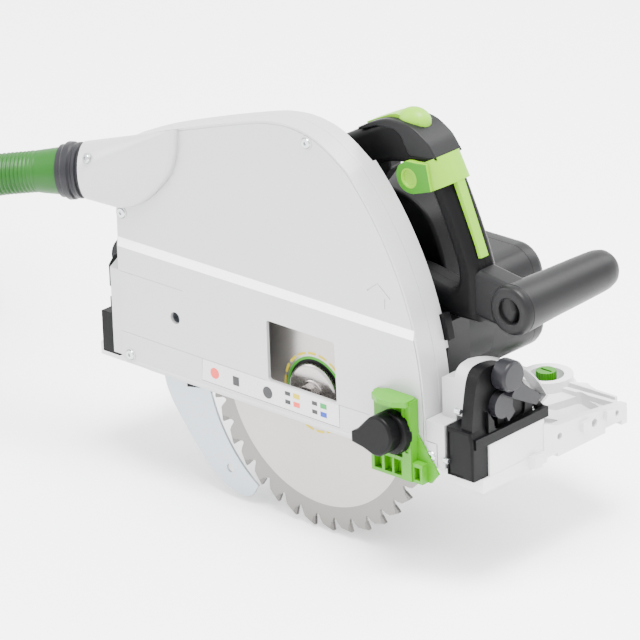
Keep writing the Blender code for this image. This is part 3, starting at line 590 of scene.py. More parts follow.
def hood_outline():
    """The hood seen from the side, anticlockwise from its rear bottom corner."""
    top = smooth_line([arc(PIVOT, HOOD_R, 3, 44, 14)[-1], (33, 226), (17, 233), (-2, 236), (-20, 235),
                       (-39, 231), (-88, 216.4), (-138, 199.6), (-170, 186)])
    return [(-173.5, HOOD_BOTTOM), (HOOD_FRONT, HOOD_BOTTOM), (HOOD_FRONT, 50),
            *arc(PIVOT, HOOD_R, 3, 44, 48)[:-1], *top, (HOOD_REAR, 180), (HOOD_REAR, 17.5)]


def hood_cavity():
    inner = inset(hood_outline(), WALL)
    return [(a, b if b > HOOD_BOTTOM + 4.9 else -5) for a, b in inner]


def scoop(mouth, shrink, face_y):
    """The dust scoop: from a round mouth behind the hood to an oval on its side."""
    across = PORT_OUT.cross(Vector((0, 0, 1))).normalized()
    up = across.cross(PORT_OUT).normalized()
    start = PORT + (PORT_OUT * 3 if shrink else Vector((0, 0, 0)))
    turns = [2 * math.pi * k / 56 for k in range(56)]
    ends = [[start + mouth * (across * math.cos(t) + up * math.sin(t)) for t in turns]]
    low = smooth_line([(-176, 136), (-164, 137), (-152, 142), (-141.6, 149), (-131, 159), (-120, 172),
                       (-114.5, 184.6), (-112, 200), (-111.5, 208)], 3)
    high = smooth_line([(-111.5, 208), (-132, 200), (-152, 191), (-176, 181)], 5)
    layers = ((0, 0),) if shrink else ((0, 0), (3.4, 0.3), (6.2, 3.4))
    for depth, grow in layers:
        ends.append([(x - shrink * 1.2 - grow, face_y - depth, z + (shrink if z < 165 else -shrink * 1.6))
                     for x, z in low + high])
    ends.append([(HOOD_REAR - 0.3, SHELL_Y - shrink, z) for z in (137 + shrink, 179 - shrink)])
    return solid_between(ends)


def on_hood(name, shape, look):
    """A thin piece that lies on the hood's face."""
    piece(name, shape, look, "guard", bevel=0, cad_slot="guard_silver")


def hood_cover():
    x0, x1, z0, z1 = WINDOW
    window = rounded([(x0, z0), (x1, z0), (x1 - 1, z1 - 0.5), (x0, z1)], 2.5)
    over = [(-25, 103.9), (-17.3, 103.9), (-16.2, 110.4), (-16.2, 260), (-25, 260)]
    flap = [(HOOD_FRONT - 1, HOOD_BOTTOM), (128, HOOD_BOTTOM), (128, 31), (HOOD_FRONT - 1, 31)]
    seams = [stroke(line, 0.45, -20, -16.9)
             for line in ([(-179, 84.5), (-113.5, 84.5)], [(-179, 37.2), (-34, 36.2)],
                          [(37, 36), (66, 36.4)], [(107, 36.6), (119, 36.6)])]
    arrow = [stroke(line, 0.9, -20, -15.7)
             for line in ([(66, 130), (76, 137.7), (87.4, 128.7)], [(82.5, 127.5), (82, 120)])]
    piece("hood_cover", prism("y", hood_outline(), -17.3, -1.8), "guard_silver", "guard", "guard_cover",
          fuse=[prism("y", flap, -17, -1.8)],
          cut=[prism("x", over, -300, 300), stroke(inset(hood_outline(), 1.9)[1:-2], 0.7, -19, -15.75),
               prism("y", hood_cavity(), COVER_Y + WALL, 5), prism("y", window, -20, -12),
               rod(4.6, -20, -12, (-122, 61), 32), block((-182, -176), (-14, 5), (141, 176)), *seams, *arrow],
          bevel=1.1, segments=3, sharp=50)
    piece("dust_scoop", scoop(21.2, 0, -15.9), "guard_silver", "guard",
          cut=[block((HOOD_REAR - 0.3, -90), (-1.8, 20), (100, 220)),
               turned([(0, -15), (20.6, -15), (20.6, 6), (0, 6)], PORT, PORT_OUT, 48), scoop(17.6, 3, -10)],
          bevel=0.6, sharp=45)
    # The band is a real upward-facing slope. Its near-white colour is painted highlight, standing in for the
    # light that the slope catches from above.
    band = [(-17.5, 103.7), (-16.4, 110.6), (-15.8, 110.6), (-15.8, 103.7)]
    on_hood("hood_band", prism("x", band, HOOD_REAR + 0.8, 109), "band_painted_highlight")
    lip = tube([(-172, -15.6, 15), (-150, -15.9, 14.6), (117, -15.9, 14.6)], (1.9, 2.4, 2.4), 20)
    piece("bottom_lip", lip, "guard_silver", "guard", bevel=0)


def label():
    """The label strip, with plain marks where the real one has signs."""
    border = stroke([(-96, 36.2), (-97, 19.5), (37, 18.6), (37, 36)], 0.35, -17.45, -17.1)
    on_hood("label_border", border, "grey")
    panel = [(-96, 36), (-97, 19.6), (37, 18.8), (37, 35.6)]
    on_hood("label_panel", prism("y", panel[::-1], -17.42, -17.2), "label_white")
    on_hood("mark_0", rod(4.2, *MARK_Y, (-84, 28), 28), "mark_red")
    squares = ((-4, 31.5, "mark_yellow"), (-4, 25, "mark_red"), (22, 31, "mark_green"),
               (22, 24.5, "mark_blue"))
    for number, (x, z, look) in enumerate(squares, 1):
        on_hood(f"mark_{number}", block((x - 3, x + 3), MARK_Y, (z - 1.9, z + 1.9)), look)
    icons = [rod(4.6, *MARK_Y, (-32, 27), 24)]
    for x, z in (((-66, -60), (24, 31)), ((-15, -10), (30, 33)), ((-15, -10), (23.5, 26.5)),
                 ((11, 16), (29.5, 32.5)), ((11, 16), (23, 26))):
        icons.append(block(x, MARK_Y, z))
    on_hood("label_icons", joined(*icons), "icon_grey")


def hood_shell():
    start = math.degrees(math.atan2(SPINDLE[1] - PIVOT[1], SPINDLE[0] - PIVOT[0]))
    reach = math.hypot(SPINDLE[0] - PIVOT[0], SPINDLE[1] - PIVOT[1])
    slot = sector(PIVOT, reach - 19.5, reach + 19.5, start - 9, start + 46.2, 48)
    piece("hood_shell", prism("y", hood_outline(), SEAM_Y, SHELL_Y), "guard_silver", "guard", "guard_shell",
          cut=[prism("y", hood_cavity(), SEAM_Y - 5, SHELL_Y - WALL), prism("y", slot, 5, 15),
               block((-182, -172), (SEAM_Y - 4, SHELL_Y - WALL), (140, 176)), rod(5.3, 5, 15, PIVOT, 32)],
          bevel=0.9, segments=3, sharp=50)


def hood_screws():
    for number, (x, z) in enumerate(((-172.6, 130), (13, 226.5), (-169.5, 20), (123, 21)), 1):
        face = -16.2 if z > 110 else -17.3
        head = [(0, face - 0.5), (1.4, face - 0.5), (1.4, face - 1.4), (3.4, face - 1.2), (4.0, face - 0.4),
                (4.0, face + 0.3), (0, face + 0.3)]
        piece(f"hood_screw_{number}", turned(head, (x, 0, z), steps=32), "zinc", "guard",
              f"cover_screw_{number}", bevel=0)
        piece(f"hood_boss_{number}", pipe(5.2, 4.1, face - 0.5, face + 0.2, (x, z), 40), "guard_silver",
              "guard", bevel=0.15)
    head = [(0, -0.4), (1.4, -0.4), (1.4, 0.9), (3.2, 0.8), (3.8, 0), (3.8, -1.5), (0, -1.5)]
    piece("scoop_screw", turned(head, Vector((-192, -30.5, 172)), (-0.25, -0.9, 0.35), 32), "zinc", "guard",
          bevel=0)


# ---------------- blade

def on_disc(tip, offset, drop):
    """A point below the blade's tip circle, offset by degrees from a tooth's tip."""
    angle = math.radians(tip + offset)
    return (BLADE_R - drop) * math.cos(angle), SPINDLE[1] + (BLADE_R - drop) * math.sin(angle)


def blade():
    gullet = ((-7.1, 8.6), (-6.4, 6.2), (-5.2, 3.2), (-2.4, 1.5), (-0.4, 0.4), (0, 0.4), (0.25, 3.5),
              (0.7, 7.6), (1.1, 9.4), (1.8, 10.4), (2.4, 10.0))
    carbide = ((-1.5, 1.1), (0, 0), (0.75, 0.1), (0.75, 6.4), (-0.15, 6.9))
    teeth = []
    tips = []
    for k in range(TEETH):
        tip = 360 * k / TEETH + TOOTH_PHASE
        teeth += [on_disc(tip, *place) for place in gullet]
        tips.append(prism("y", [on_disc(tip, *place) for place in carbide], -1.25, 1.25))
    piece("blade_disc", prism("y", teeth, -1.05, 1.05), "blade_disc", "blade", "saw_blade",
          cut=[rod(15, -3, 3, SPINDLE, 48)], bevel=0, sharp=30, cad_slot="blade_steel")
    piece("ground_zone", pipe(86, 15, -1.13, 1.13, SPINDLE, 128), "blade_ground", "blade", bevel=0,
          cad_slot="blade_steel")
    piece("carbide_tips", joined(*tips), "carbide", "blade", bevel=0.15, segments=1, cad_slot="blade_steel")
    dashes = [prism("y", sector(SPINDLE, 28.6, 30.6, a, a + 15, 5), -1.22, -1) for a in range(8, 368, 20)]
    for name, ring, look in (("ring_green", pipe(27.2, 25.2, -1.25, -1, SPINDLE), "ring_green"),
                             ("ring_dark", pipe(25.2, 22.0, -1.25, -1, SPINDLE), "black"),
                             ("ring_yellow", joined(*dashes), "mark_yellow")):
        piece(name, ring, look, "blade", bevel=0, cad_slot="blade_steel")
    flange = [(0, -1.5), (0, -5.6), (10, -5.6), (10.6, -5.1), (11.4, -5.1), (12, -5.6), (20.4, -5.6),
              (21.8, -5.2), (22.7, -4.2), (22.7, -1.5)]
    piece("clamp_flange", turned(flange, (0, 0, SPINDLE[1]), steps=96), "steel", "blade", "outer_flange",
          bevel=0.2)
    hexagon = arc(SPINDLE, 8.2, 0, 300, 5)
    piece("clamp_bolt", prism("y", hexagon, -11, -5.6), "steel", "blade", "arbor_bolt",
          fuse=[rod(8.8, -6.6, -5.5, SPINDLE, 48), rod(4, -7, 12, SPINDLE)],
          cut=[prism("y", arc(SPINDLE, 3.5, 30, 330, 5), -13, -8)], bevel=0.5, cad_slot="dark_steel")


def knife():
    inner = [p for p in arc(SPINDLE, 109, 236, 172, 48) if p[1] > -61.5]
    outer = smooth_line([(-118, 62), (-138, 56), (-150, 34), (-152, 5), (-147, -11), (-137.5, -25),
                         (-121.5, -45), (-105, -61.5), (-93.5, -68.5), (-81.6, -71.5), (-73, -71.6),
                         (-67, -69), (-63, -63)])
    piece("riving_blade", prism("y", inner + outer, -1, 1), "knife_steel", "knife", "riving_knife",
          cut=[rod(3.4, -3, 3, (-88.6, -53.6), 32), rod(2.4, -3, 3, (-122, 42), 24)], bevel=0.3, segments=2,
          cad_slot="blade_steel")
    shoe = [(-127, 1), (-112, 4), (-110, 12), (-128, 12)]
    piece("knife_shoe", prism("y", shoe, -3.2, 3.2), "black", "knife", bevel=0.5, cad_slot="steel")


# ---------------- splinter guard

def splinter_guard():
    slots = [block((x, x + 7), (-30, -21), (3.4, 14.8)) for x in (77.2, 86.7, 95.6)]
    flange = rounded([(84, -17.4), (79, -24), (80, -31), (90, -36), (103, -35.5), (111, -29),
                      (111.5, -17.4)], 5)
    fin = [(103, 1), (124, 1), (131, 9.4), (112, 35), (103, 35)]
    piece("splinter_shield", block((74.5, 104.5), (-26, -17.6), (0.8, 17.5)), "splinter_green",
          "splinter_slider", "splinter_guard",
          fuse=[block((74.5, 104.5), (-22, -17.6), (16, 60)), block((104, 112), (-26.2, -17.6), (0.8, 61)),
                prism("z", flange, 57.6, 62), prism("y", fin[::-1], -19.4, -17.6),
                block((111.5, 121), (-25, -17.6), (0.8, 15.5))],
          cut=[*slots, block((113.6, 118.8), (-30, -20.5), (3, 12.6)), rod(3.4, -30, -10, (96, 35), 24),
               prism("x", [(-60, 61), (-30, 57.8), (-30, 50), (-60, 50)], 70, 120),
               prism("y", [(106, 58), (109.5, 50), (109.5, 22), (106.5, 22)], -40, -25.4)],
          bevel=0.45)
    disc = [(0, -31.5), (13.2, -31.5), (15.2, -31), (16, -29.8), (16, -25), (15, -23.8), (0, -23.8)]
    wing = smooth_line([(69, 33), (74, 36), (80, 42), (87, 48.5), (95, 50.5), (103, 46.5), (107, 37),
                        (104, 28), (97, 21.5), (90, 20), (80, 23), (69, 25)], 2)
    hollow = rounded([(66, 12), (88, 16), (101, 14), (101, 8), (66, 8)], 4)
    piece("splinter_wing_knob", turned(disc, (96.5, 0, 35.5), steps=72), "black", "splinter_clamp",
          "splinter_knob",
          fuse=[pillow(wing[::-1], -41, -30, (-41, 5.5, 6)), rod(3, -28, -17.5, (96, 35), 24)],
          cut=[pillow(hollow, -50, -20, (-20, 1, 2))], bevel=0.4, segments=2)


# ---------------- base, quadrants and brackets

def base():
    cam_bumps = (arc((CAM_X[0], CAM_Y + 4), 19, 40, 150, 16), arc((CAM_X[1], CAM_Y + 4), 17, 30, 150, 16))
    outline = [(-222, 4), (-48, 4), (-48, 54), (48, 54), (48, 4), (136, 4), (136, -8), (162, -8), (162, 148),
               *smooth_line([(155, 152), (135, 159), (118, 163), (110, 167)]), *cam_bumps[0],
               (66, 157), (60, 156), (-120, 156), *cam_bumps[1], (-182, 152), (-222, 140)]
    pockets = [prism("z", rounded([(a, 82), (b, 82), (b, 118), (a, 118)], 5), 5, 14)
               for a, b in ((-190, -158), (-150, -110), (-102, -64), (-56, -14), (-6, 46))]
    pockets += [prism("z", rounded([(66, 84), (104, 96), (104, 122), (66, 116)], 5), 4, 14),
                prism("z", rounded([(112, 66), (138, 66), (138, 104), (112, 96)], 4), 4, 14),
                prism("z", rounded([(112, 112), (146, 120), (148, 138), (120, 146)], 4), 4, 14)]
    walls = [prism("x", [(0, 8), (58, 8), (58, 34), (0, 34)], 140, 161.4),
             prism("x", [(57, 8), (148, 8), (148, 15), (128, 18), (104, 21), (72, 24), (57, 30)], 156, 162),
             prism("y", [(104, 8), (161, 8), (161, 15), (104, 13)], 143, 147),
             block((-200, 149), (150.5, 153), (8, 15)),
             prism("z", [(60, 76), (106, 92), (106, 95), (60, 79)], 8, 15),
             block((48, 51), (56, 120), (8, 15)),
             block((-206, 48), (74, 77), (8, 14)), block((-206, 48), (121, 124), (8, 14))]
    ribs = []
    for y in (62, 84, 106, 128):
        top = 24 - (y - 60) * 0.1
        ribs.append(prism("y", [(155, 9), (162, 9), (162, top), (157, top), (150, 9)], y, y + 2.4))
    wedge = prism("z", [(161, 40), (167, 42), (167, 49), (161, 49)], 2, 11)
    lugs = [block((161.2, 165.5), (y, y + 9), (11, 18)) for y in (96, 122)]
    bosses = [rod_z(19, 6, 18, (CAM_X[0], CAM_Y + 1), 64), rod_z(17, 6, 17, (CAM_X[1], CAM_Y), 64)]
    holes = [rod_x(2.6, 150, 170, (74, 15), 24), rod_x(3.2, 150, 170, (112, 12), 24),
             rod_x(2.2, 150, 170, (137, 11), 24)]
    grooves = [block((-230, 170), (124, 142), (-2, 3.6)), block((-230, 170), (60, 72), (-2, 3))]
    cuts = [*pockets, *holes, *grooves]
    for x in CAM_X:
        at = (x, CAM_Y)
        cuts += [rod_z(13, 6.8, 22, at, 48), rod_z(9, -2, 3.8, at), rod_z(4.4, 0, 12, at)]
    cuts += [rod_z(2.6, 20, 40, (152, y), 24) for y in (10, 53)]
    piece("base_casting", prism("z", outline, 0, 10), "cast_white", "base", "base_plate",
          fuse=[*walls, *ribs, wedge, *lugs, *bosses], cut=cuts, bevel=0.7, segments=2)
    for x, body, node in zip(CAM_X, ("front_cam", "rear_cam"), ("front_guide_cam", "rear_guide_cam")):
        at = (x, CAM_Y)
        piece(f"{node}_wheel", prism("z", knurled(at, 7.0, 7.5, 48), 8, 21), "green", body, node,
              fuse=[rod_z(4, 4.4, 9, at), rod_z(6.5, 0.8, 3.4, (x + 1.2, CAM_Y)), rod_z(3.2, 2, 6, at)],
              cut=[block((x - 5, x + 5), (CAM_Y - 1, CAM_Y + 1), (19.4, 24))], bevel=0.3)


def front_quadrant():
    web = [*smooth_line([(-14, 40), (-13.6, 52), (-11.5, 66), (-8.8, 79), (-6.5, 85)], 4),
           *smooth_line([(-5, 87.2), (-1.5, 89.3), (5, 90), (14, 89), (22, 86.5), (29, 81)], 3),
           (36, 73), (48, 56), (60.5, 43.5), (62, 41), (62, 38), (-14, 38)]
    column = [(136, 10.4), (160.2, 10.4), (160.2, 40), (158, 46.6), (136, 46.6)]
    foot = prism("z", [(140, -14), (161.6, -14), (162, 2), (162, 62.4), (150, 62.4), (140, 40)], 34.3, 42)
    pockets = [rod_z(6.6, 37.9, 60, (152, y), 40) for y in (10, 53)]
    recess = prism("x", rounded([(6, 42.5), (42, 42.5), (42, 56), (26, 66), (6, 64)], 5), 156.4, 162)
    side = [prism("y", [(138.5, 12), (152, 12), (147.5, 44), (138.5, 44)], -18, -16.2),
            block((146, 152), (-16, -11.8), (66, 80)), block((144, 150), (-20, -12.6), (58.5, 61.5))]
    piece("front_quadrant_body", prism("x", web, 148.2, 158), "black", "base", "front_quadrant",
          fuse=[pillow(column, -17, -0.4, (-17, 2, 3)), foot,
                prism("x", [(0, 40), (0, 58), (8, 47), (14, 42)], 156, 161)],
          cut=[recess, rod_x(3.4, 140, 165, CLAMP), *pockets, *side], bevel=0.9, segments=3)
    pointer = prism("x", [(14, 56), (20, 45), (27, 50), (21, 63)], 158.2, 162)
    piece("adjusting_disc", rod_x(9.6, 158.2, 164, (13, 60), 48), "grey", "base", fuse=[pointer], bevel=0.8,
          cad_slot="black")
    for side_name, y in (("near", 10), ("far", 53)):
        head = [(0, 38.4), (5.0, 38.4), (5.2, 39.6), (4.6, 41.2), (3.2, 42.3), (1.6, 42.7), (0, 42.7)]
        socket = prism("z", arc((152, y), 2.1, 0, 300, 5), 41, 44)
        piece(f"{side_name}_pan_screw", turned(head, (152, y, 0), (0, 0, 1), 40), "zinc", "base",
              f"{side_name}_quadrant_screw", cut=[socket], bevel=0.15)
    for number, (x, y, z) in enumerate(((146.5, -14.4, 60), (137.6, -17.6, 21.5))):
        piece(f"stop_pin_{number}", rod_x(2.1, x - 3, x + 2, (y, z), 24), "zinc", "base", bevel=0.4,
              cad_slot="zinc")


def front_bracket():
    low, high = CLAMP_DEG - 47 - 3, CLAMP_DEG + 3
    slot = sector((0, 0), CLAMP_R - 4.2, CLAMP_R + 4.2, high, low, 40)
    arch = [*arc((0, 0), CLAMP_R + 5.4, low - 1.5, 84, 40), (2.5, 87.2), (-1.4, 85), (-3.9, 81.5), (-4.2, 77),
            (-4.2, 51), (20, 51), (46, 62), *arc((0, 0), CLAMP_R - 6.2, 50, low - 1.5, 12)]
    step = [(118.4, 31.4), (128.4, 31.4), (128.4, 14), (135.2, 14), (135.2, 47), (118.4, 47)]
    post = [(122.5, 45), (135.2, 45), (135.2, 79), (122.5, 75.8)]
    piece("front_bracket", prism("x", arch, 134.6, 147.6), "guard_silver", "guard", "front_tilt_bracket",
          fuse=[prism("y", step, -17, 10.5), prism("y", post, -4, 10.5)], cut=[prism("x", slot, 130, 150)],
          bevel=1.3, segments=4, sharp=45)
    tongue = rounded([(118.9, 14), (128, 14), (128, 31), (118.9, 31)], 1.2)
    piece("bracket_tongue", prism("y", tongue, -17.6, -12), "guard_silver", "guard", bevel=0.4)


def bevel_clamps():
    for name, side, inner, outer in (("front", 1, 158.6, 171), ("rear", -1, -197.8, -209.5)):
        hub = [(0, inner), (10.8, inner), (11.4, inner + side), (11.4, outer - side * 2.4),
               (10.8, outer - side * 1.2), (9.6, outer - side * 0.2), (0, outer)]
        wing = rounded([(CLAMP[0] + 5, CLAMP[1] - 4), (CLAMP[0] - 4, CLAMP[1] - 14),
                        (CLAMP[0] + 24.5, CLAMP[1] - 29.5), (CLAMP[0] + 28.5, CLAMP[1] - 23.5)], 2.4)
        low, high = sorted((inner + side * 4.5, outer - side * 0.4))
        stem = sorted((inner + side * 2, 136 if side > 0 else -180))
        dish = [rod_x(12.6, outer - 1.4, outer + 3, (CLAMP[0] + 20, CLAMP[1] - 36), 32)] if side > 0 else []
        piece(f"{name}_clamp_lever", turned(hub, (0, *CLAMP), (1, 0, 0), 64), "grey", f"{name}_bevel_clamp",
              f"{name}_bevel_knob", fuse=[prism("x", wing[::-1], low, high), rod_x(2.5, *stem, CLAMP, 24)],
              cut=dish, bevel=0.5, segments=3)


# ---------------- drive unit

def motor():
    x, z = MOTOR
    vents = [block((x - 30 + 7.4 * k, x - 30 + 7.4 * k + 3), (112, 134), (z - 60, z - 30)) for k in range(8)]
    vents += [block((x - 60, x - 30), (98 + 6 * k, 101 + 6 * k), (z - 20, z + 16)) for k in range(6)]
    hump = smooth_line([(78, 96), (75, 122), (68, 146), (58, 162), (40, 172), (15, 175), (-8, 170),
                        (-24, 152), (-34, 124), (-38, 96)], 4)
    piece("electronics_cover", pillow(hump[::-1], 55, 104, (104, 14, 6), (55, 3, 3)), "black", "drive_unit",
          bevel=0)
    piece("motor_case", rod(45, 52.8, 92, MOTOR, 96), "dark_plastic", "drive_unit", "motor_housing",
          fuse=[prism("y", rounded_square(MOTOR, MOTOR_HALF, 20), 84, 141.7)],
          cut=[prism("y", rounded_square(MOTOR, MOTOR_HALF - 3, 17), 86.6, 150),
               rod(41.7, 45, 88.9, MOTOR, 64), *vents],
          bevel=0.6)
    rims = [(39.5, 142), (39.5, 149), (38.6, 152.4), (36, 155.6), (31, 159), (26, 161.2), (24, 161.5)]
    lid = solid_between([[(a, y, b) for a, b in rounded_square(MOTOR, half, 20 - (39.5 - half) * 0.2)]
                         for half, y in rims])
    slits = [block((x + 2, x + 26), (150, 170), (z - 26 + 4.6 * k, z - 23.6 + 4.6 * k)) for k in range(4)]
    piece("motor_lid", lid, "dark_plastic", "drive_unit", "motor_end_cap",
          cut=[prism("y", rounded_square(MOTOR, MOTOR_HALF - 3, 11), 138, 148), rod(8, 140, 156, MOTOR),
               *slits, rod(2.8, 150, 170, DIAL, 24)], bevel=0.5)
    marks = []
    for k in range(8):
        turn = math.radians(45 * k)
        line = [(DIAL[0] + r * math.cos(turn), DIAL[1] + r * math.sin(turn)) for r in (4.6, 7.2)]
        marks.append(stroke(line, 0.7, 165, 167))
    piece("speed_wheel", prism("y", knurled(DIAL, 8.5, 9, 56), 162, 165.4), "grey", "dial", "speed_dial",
          fuse=[rod(2.4, 158, 163, DIAL)], cut=marks, bevel=0.3)


def gear_case():
    low = arc(SPINDLE, 26, 180, 305, 30)
    pin_end = arc(PIVOT, 15, 70, 262, 32)
    outline = [*low, (46, 27), (76, 40), (90, 60), (107, 61), (107, 104), (88, 111), (66, 119), (40, 120.5),
               (16, 117), (-16, 100), (-62, 76), *pin_end, (-60, 30)]
    piece("gear_case", prism("y", outline, 13.5, 43.7), "magnesium", "drive_unit", "gear_housing",
          fuse=[pipe(18.5, 14.3, 5.2, 15, SPINDLE, 64)],
          cut=[block((86, 120), (0, 20), (50, 130)), block((-150, -92), (30, 50), (0, 120)),
               rod(14.3, 0, 15.9, SPINDLE), rod(6.5, 10, 25, SPINDLE), rod(5.3, 0, 50, PIVOT)],
          bevel=1.6, segments=3)


def funnel(opening, face, flare):
    """A cutter that rounds an opening's rim at a face; flare is 1 towards far and -1 towards near."""
    shape = bmesh.new()
    rings = []
    for step in range(6):
        turn = math.radians(90 * step / 5)
        ring = inset(opening, -(5 * (1 - math.sin(turn))))
        depth = face + flare * 5 * (1 - math.cos(turn)) - (flare * 0.01 if step == 0 else 0)
        rings.append([shape.verts.new((x, depth, z)) for x, z in ring])
    for first, second in zip(rings, rings[1:]):
        count = len(first)
        for k in range(count):
            n = (k + 1) % count
            shape.faces.new([first[k], first[n], second[n], second[k]])
    shape.faces.new(rings[0])
    shape.faces.new(rings[-1][::-1])
    return shape


def handle_shells():
    outer = [(-16, 104), (18, 121.5), (40, 123.5), (66, 122), (90, 113.5), (106, 107.5), (131.5, 108.5),
             *smooth_line([(131.5, 147), (126, 163), (117, 184), (107, 205), (98, 222), (90, 231.5)], 5),
             *smooth_line([(88, 233.6), (77, 239.5), (66, 241.4), (53, 241), (40, 236), (27, 229), (-2, 213),
                           (-38, 188), (-58, 170), (-70, 157), (-80, 141), (-86, 128), (-89, 114), (-88, 100),
                           (-84, 88), (-72, 79)], 5), (-62, 78.5)]
    opening = smooth_line([(-56, 112), (-48, 107), (-38, 108), (-14, 122), (20, 134), (70, 134), (100, 129),
                           (110, 130), (114.5, 136), (114, 148), (105, 171), (93, 196), (86, 207), (78, 212),
                           (66, 212), (46, 207), (15, 189), (-22, 163), (-46, 138), (-56, 120)], 5)
    room = [(4, 204), (0, 194), (8, 176), (20, 182), (52, 204), (52, 220)]
    split = HANDLE_SPLIT
    for side, low, high, face, flare, mouth in (
            ("near", HANDLE_NEAR, split - 0.1, HANDLE_NEAR, 1, (HANDLE_NEAR - 8, split + 1)),
            ("far", split + 0.1, HANDLE_FAR, HANDLE_FAR, -1, (split - 1, HANDLE_FAR + 8))):
        piece(f"{side}_handle_half", pillow(outer, low, high, (face, 7, 6)), "black", "drive_unit",
              f"{side}_handle_shell",
              cut=[prism("y", opening, *mouth), funnel(opening, face, flare),
                   prism("y", room, split - 6.8, split + 6.8)], bevel=0)


def switch():
    """The trigger, the cap over the handle's nose and the switch-on lock in it."""
    split = HANDLE_SPLIT
    trigger = smooth_line([(48, 212), (30, 203.5), (8, 191), (6, 184), (12, 174), (20, 173), (36, 186),
                           (50, 203)], 3)
    piece("trigger_blade", prism("y", trigger[::-1], split - 6.2, split + 6.2), "dark_plastic",
          "switch_trigger", "trigger", bevel=1.6, segments=4, cad_slot="black")
    nose = smooth_line([(99.4, 222.4), (91.4, 232.6), (88.6, 234.8), (77.4, 240.9), (66, 242.6), (53, 242.2),
                        (39.6, 237.2), (26.6, 230.2)], 4)
    nose += [(26.6, 228), (44, 235), (60, 236), (66, 233), (72.5, 221.6), (76, 219.5)]
    near, far = HANDLE_NEAR - 0.6, HANDLE_FAR + 0.6
    piece("nose_cap", pillow(nose, near, far, (near, 6, 6), (far, 10, 8)), "dark_plastic", "drive_unit",
          cut=[block((20, 70), (split - 7.4, split + 7.4), (200, 260))], bevel=0, cad_slot="black")
    lock = [(30, 231), (53, 241.7), (76, 240.3), (78, 242.4), (70, 244), (57, 245.2), (51, 243.4),
            (30, 233.4)]
    under = [(20, 200), (30, 230.7), (53, 241.4), (76, 240), (100, 236), (100, 200)]
    dome = bmesh.new()
    bmesh.ops.create_uvsphere(dome, u_segments=48, v_segments=24, radius=1)
    dome.transform(Matrix.Translation((68, split, 240.5)) @ Matrix.Rotation(math.radians(-8), 4, "Y")
                   @ Matrix.Diagonal((13.5, 9.5, 10, 1)))
    piece("lock_button", prism("y", lock, split - 7, split + 7), "lime", "switch_lock", "switch_on_lock",
          fuse=[dome], cut=[prism("y", under, 0, 80)], bevel=0.8, segments=3)


def cuff_round_grip(half_wide, deep, centre, length):
    """The lime band that wraps the handle: a rounded U across it, drawn out along it."""
    curve = []
    for k in range(21):
        turn = math.radians(180 * k / 20)
        curve.append((math.copysign(abs(math.cos(turn)) ** 0.68, math.cos(turn)), math.sin(turn) ** 0.68))
    along = Vector((-9, 0, 17)).normalized()
    out = Vector((17, 0, 9)).normalized()
    outer, inner = [[(side * half_wide * wide, -deep + 4.2 + forward * deep * tall)
                     for side, forward in curve]
                    for wide, tall in ((1, 1), (1 - 3.0 / half_wide, 1 - 3.4 / deep))]
    section = outer + inner[::-1]
    shape = bmesh.new()
    ends = [[shape.verts.new(centre + along * shift + out * forward + Vector((0, side, 0)))
             for side, forward in section] for shift in (-length / 2, length / 2)]
    count = len(section)
    for k in range(count):
        n = (k + 1) % count
        shape.faces.new([ends[0][k], ends[0][n], ends[1][n], ends[1][k]])
    shape.faces.new(ends[0][::-1])
    shape.faces.new(ends[1])
    return shape


def change_lever():
    low, high = HANDLE_NEAR - 3.0, HANDLE_FAR + 1.4
    band = cuff_round_grip((high - low) / 2, 19, Vector((103.2, (low + high) / 2, 214.8)), 20.5)
    tab = smooth_line([(93, 219), (84, 218), (74, 217), (67, 211), (66.5, 203), (71, 196.6), (79, 194.6),
                       (88, 197), (97, 200)], 2)
    tongue = [(107.0, 207.5), (117.4, 184.4), (126.6, 163.4), (129.4, 155.3), (132, 156), (120.4, 185.2),
              (110.8, 209)]
    hollow_at = (77.5, low - 2.2, 205.6)
    piece("change_band", band, "lime", "change_lever", "quick_change_lever",
          fuse=[pillow(tab, low - 2.2, low + 3.0, (low - 2.2, 1.6, 4)),
                prism("y", tongue, HANDLE_SPLIT - 6, HANDLE_SPLIT + 1.6)],
          cut=[turned([(0, -3), (7.2, -3), (5.6, 1.4), (0, 2.2)], hollow_at, steps=40)],
          bevel=0.5, segments=3, sharp=45)
    step = [(73.6, 219.2), (98.6, 224.0), (99.5, 222.3), (74.6, 217.5)]
    near, far = HANDLE_NEAR - 0.9, HANDLE_FAR - 1
    piece("cap_step", pillow(step[::-1], near, far, (near, 0.6, 2), (far, 0.6, 2)), "black", "drive_unit",
          bevel=0)
    piece("tab_face", pillow(tab, low - 2.5, low - 2.0, (low - 2.5, 0.2, 1)), "green", "change_lever",
          cut=[turned([(0, -3), (7.4, -3), (7.4, 3), (0, 3)], hollow_at, steps=40)], bevel=0,
          cad_slot="lime")


def front_handle():
    profile = [(0, 40), (0, 29.5), (9, 29.5), (9.5, 22.6), (10.2, 22), (14.5, 22), (16.6, 22.6),
               (17.8, 24.2), (18.1, 27.2), (17.6, 27.7), (17.6, 28.3), (18, 28.8), (17.8, 38), (17.2, 50),
               (16.6, 64), (16, 90), (15.3, 112), (14.8, 119), (13.4, 124.5), (11, 127.8), (7, 129.6),
               (0, 130)]
    knuckle = rounded([(121, 113), (162, 109), (166, 126), (160, 143), (121, 149)], 6)
    piece("front_handle", turned(profile, (GRIP[0], 0, GRIP[1]), steps=96), "dark_plastic", "drive_unit",
          "front_grip", fuse=[pillow(knuckle, 25, 46, (25, 5, 4), (46, 5, 4))], bevel=0)


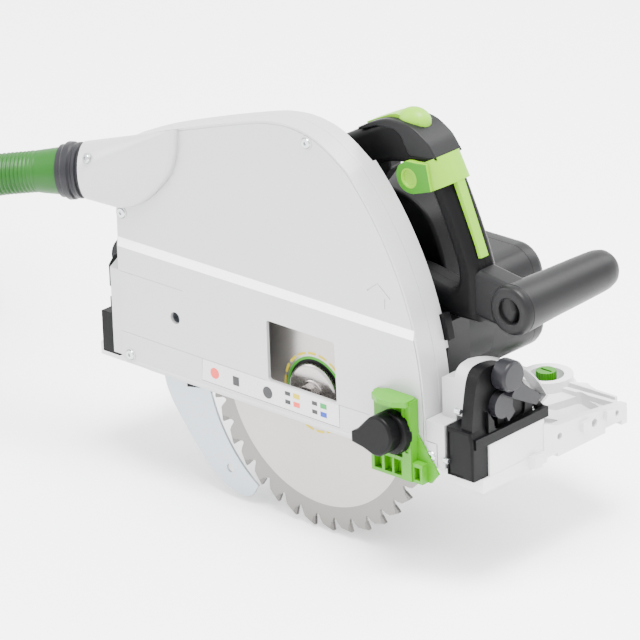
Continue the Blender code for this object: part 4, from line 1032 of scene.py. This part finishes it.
camera()
studio()
finish("cast_white", (0.60, 0.60, 0.60), 0.45, 0.0, 900, 0.04, 0.03, shine=0.3)
finish("guard_silver", (0.40, 0.40, 0.405), 0.38, 0.25, 2200, 0.008, 0.02)
# Near-white for the hood band: painted highlight, not a white stripe of paint.
finish("band_painted_highlight", (0.85, 0.85, 0.85), 0.3, 0.1, 2200, 0.004, 0.01)
finish("magnesium", (0.007, 0.007, 0.008), 0.5, 0.1, shine=0.2)
finish("black", (0.002, 0.002, 0.0023), 0.42, shine=0.09)
finish("dark_plastic", (0.006, 0.006, 0.0065), 0.4, shine=0.15)
finish("grey", (0.009, 0.009, 0.011), 0.4, shine=0.2)
finish("lime", (0.14, 0.33, 0.004), 0.4, shine=0.25)
finish("green", (0.025, 0.15, 0.002), 0.42, shine=0.2)
finish("splinter_green", (0.042, 0.21, 0.0015), 0.38, shine=0.25)
finish("hose_green", (0.004, 0.062, 0.0015), 0.42, shine=0.25)
finish("blade_steel", (0.24, 0.235, 0.22), 0.34, 0.9, 30000, 0.01, 0.04, streak=SPINDLE)
finish("blade_disc", (0.16, 0.155, 0.145), 0.36, 0.8, 30000, 0.01, 0.04, streak=SPINDLE)
finish("blade_ground", (0.33, 0.315, 0.30), 0.30, 0.85, 30000, 0.01, 0.05, streak=SPINDLE)
finish("carbide", (0.11, 0.105, 0.10), 0.3, 0.8)
finish("knife_steel", (0.36, 0.40, 0.44), 0.35, 0.6, 600, 0.01, 0.03)
finish("steel", (0.34, 0.32, 0.31), 0.25, 0.95)
finish("dark_steel", (0.10, 0.10, 0.11), 0.35, 0.95)
finish("zinc", (0.45, 0.47, 0.48), 0.18, 0.95)
finish("brass", (0.4, 0.25, 0.09), 0.35, 0.95)
finish("label_white", (0.50, 0.50, 0.50), 0.3, 0, 700, 0.0)
PRINTS = {"icon_grey": (0.03, 0.03, 0.032), "mark_red": (0.60, 0.06, 0.05), "mark_yellow": (0.45, 0.36, 0.01),
          "mark_green": (0.01, 0.22, 0.05), "mark_blue": (0.015, 0.04, 0.30),
          "ring_green": (0.03, 0.22, 0.01)}
for name, colour in PRINTS.items():
    finish(name, colour, 0.45 if name == "ring_green" else 0.5, 0, 700, 0.0, shine=0.2)

hose()
hood_cover()
label()
hood_shell()
hood_screws()
blade()
knife()
splinter_guard()
base()
front_quadrant()
front_bracket()
bevel_clamps()
motor()
gear_case()
handle_shells()
switch()
change_lever()
front_handle()
for entry in frame["record"]["subparts"]:
    if not frame["nodes"][entry["node"]].hide_render:
        dress(entry["node"], entry["material_slot"])
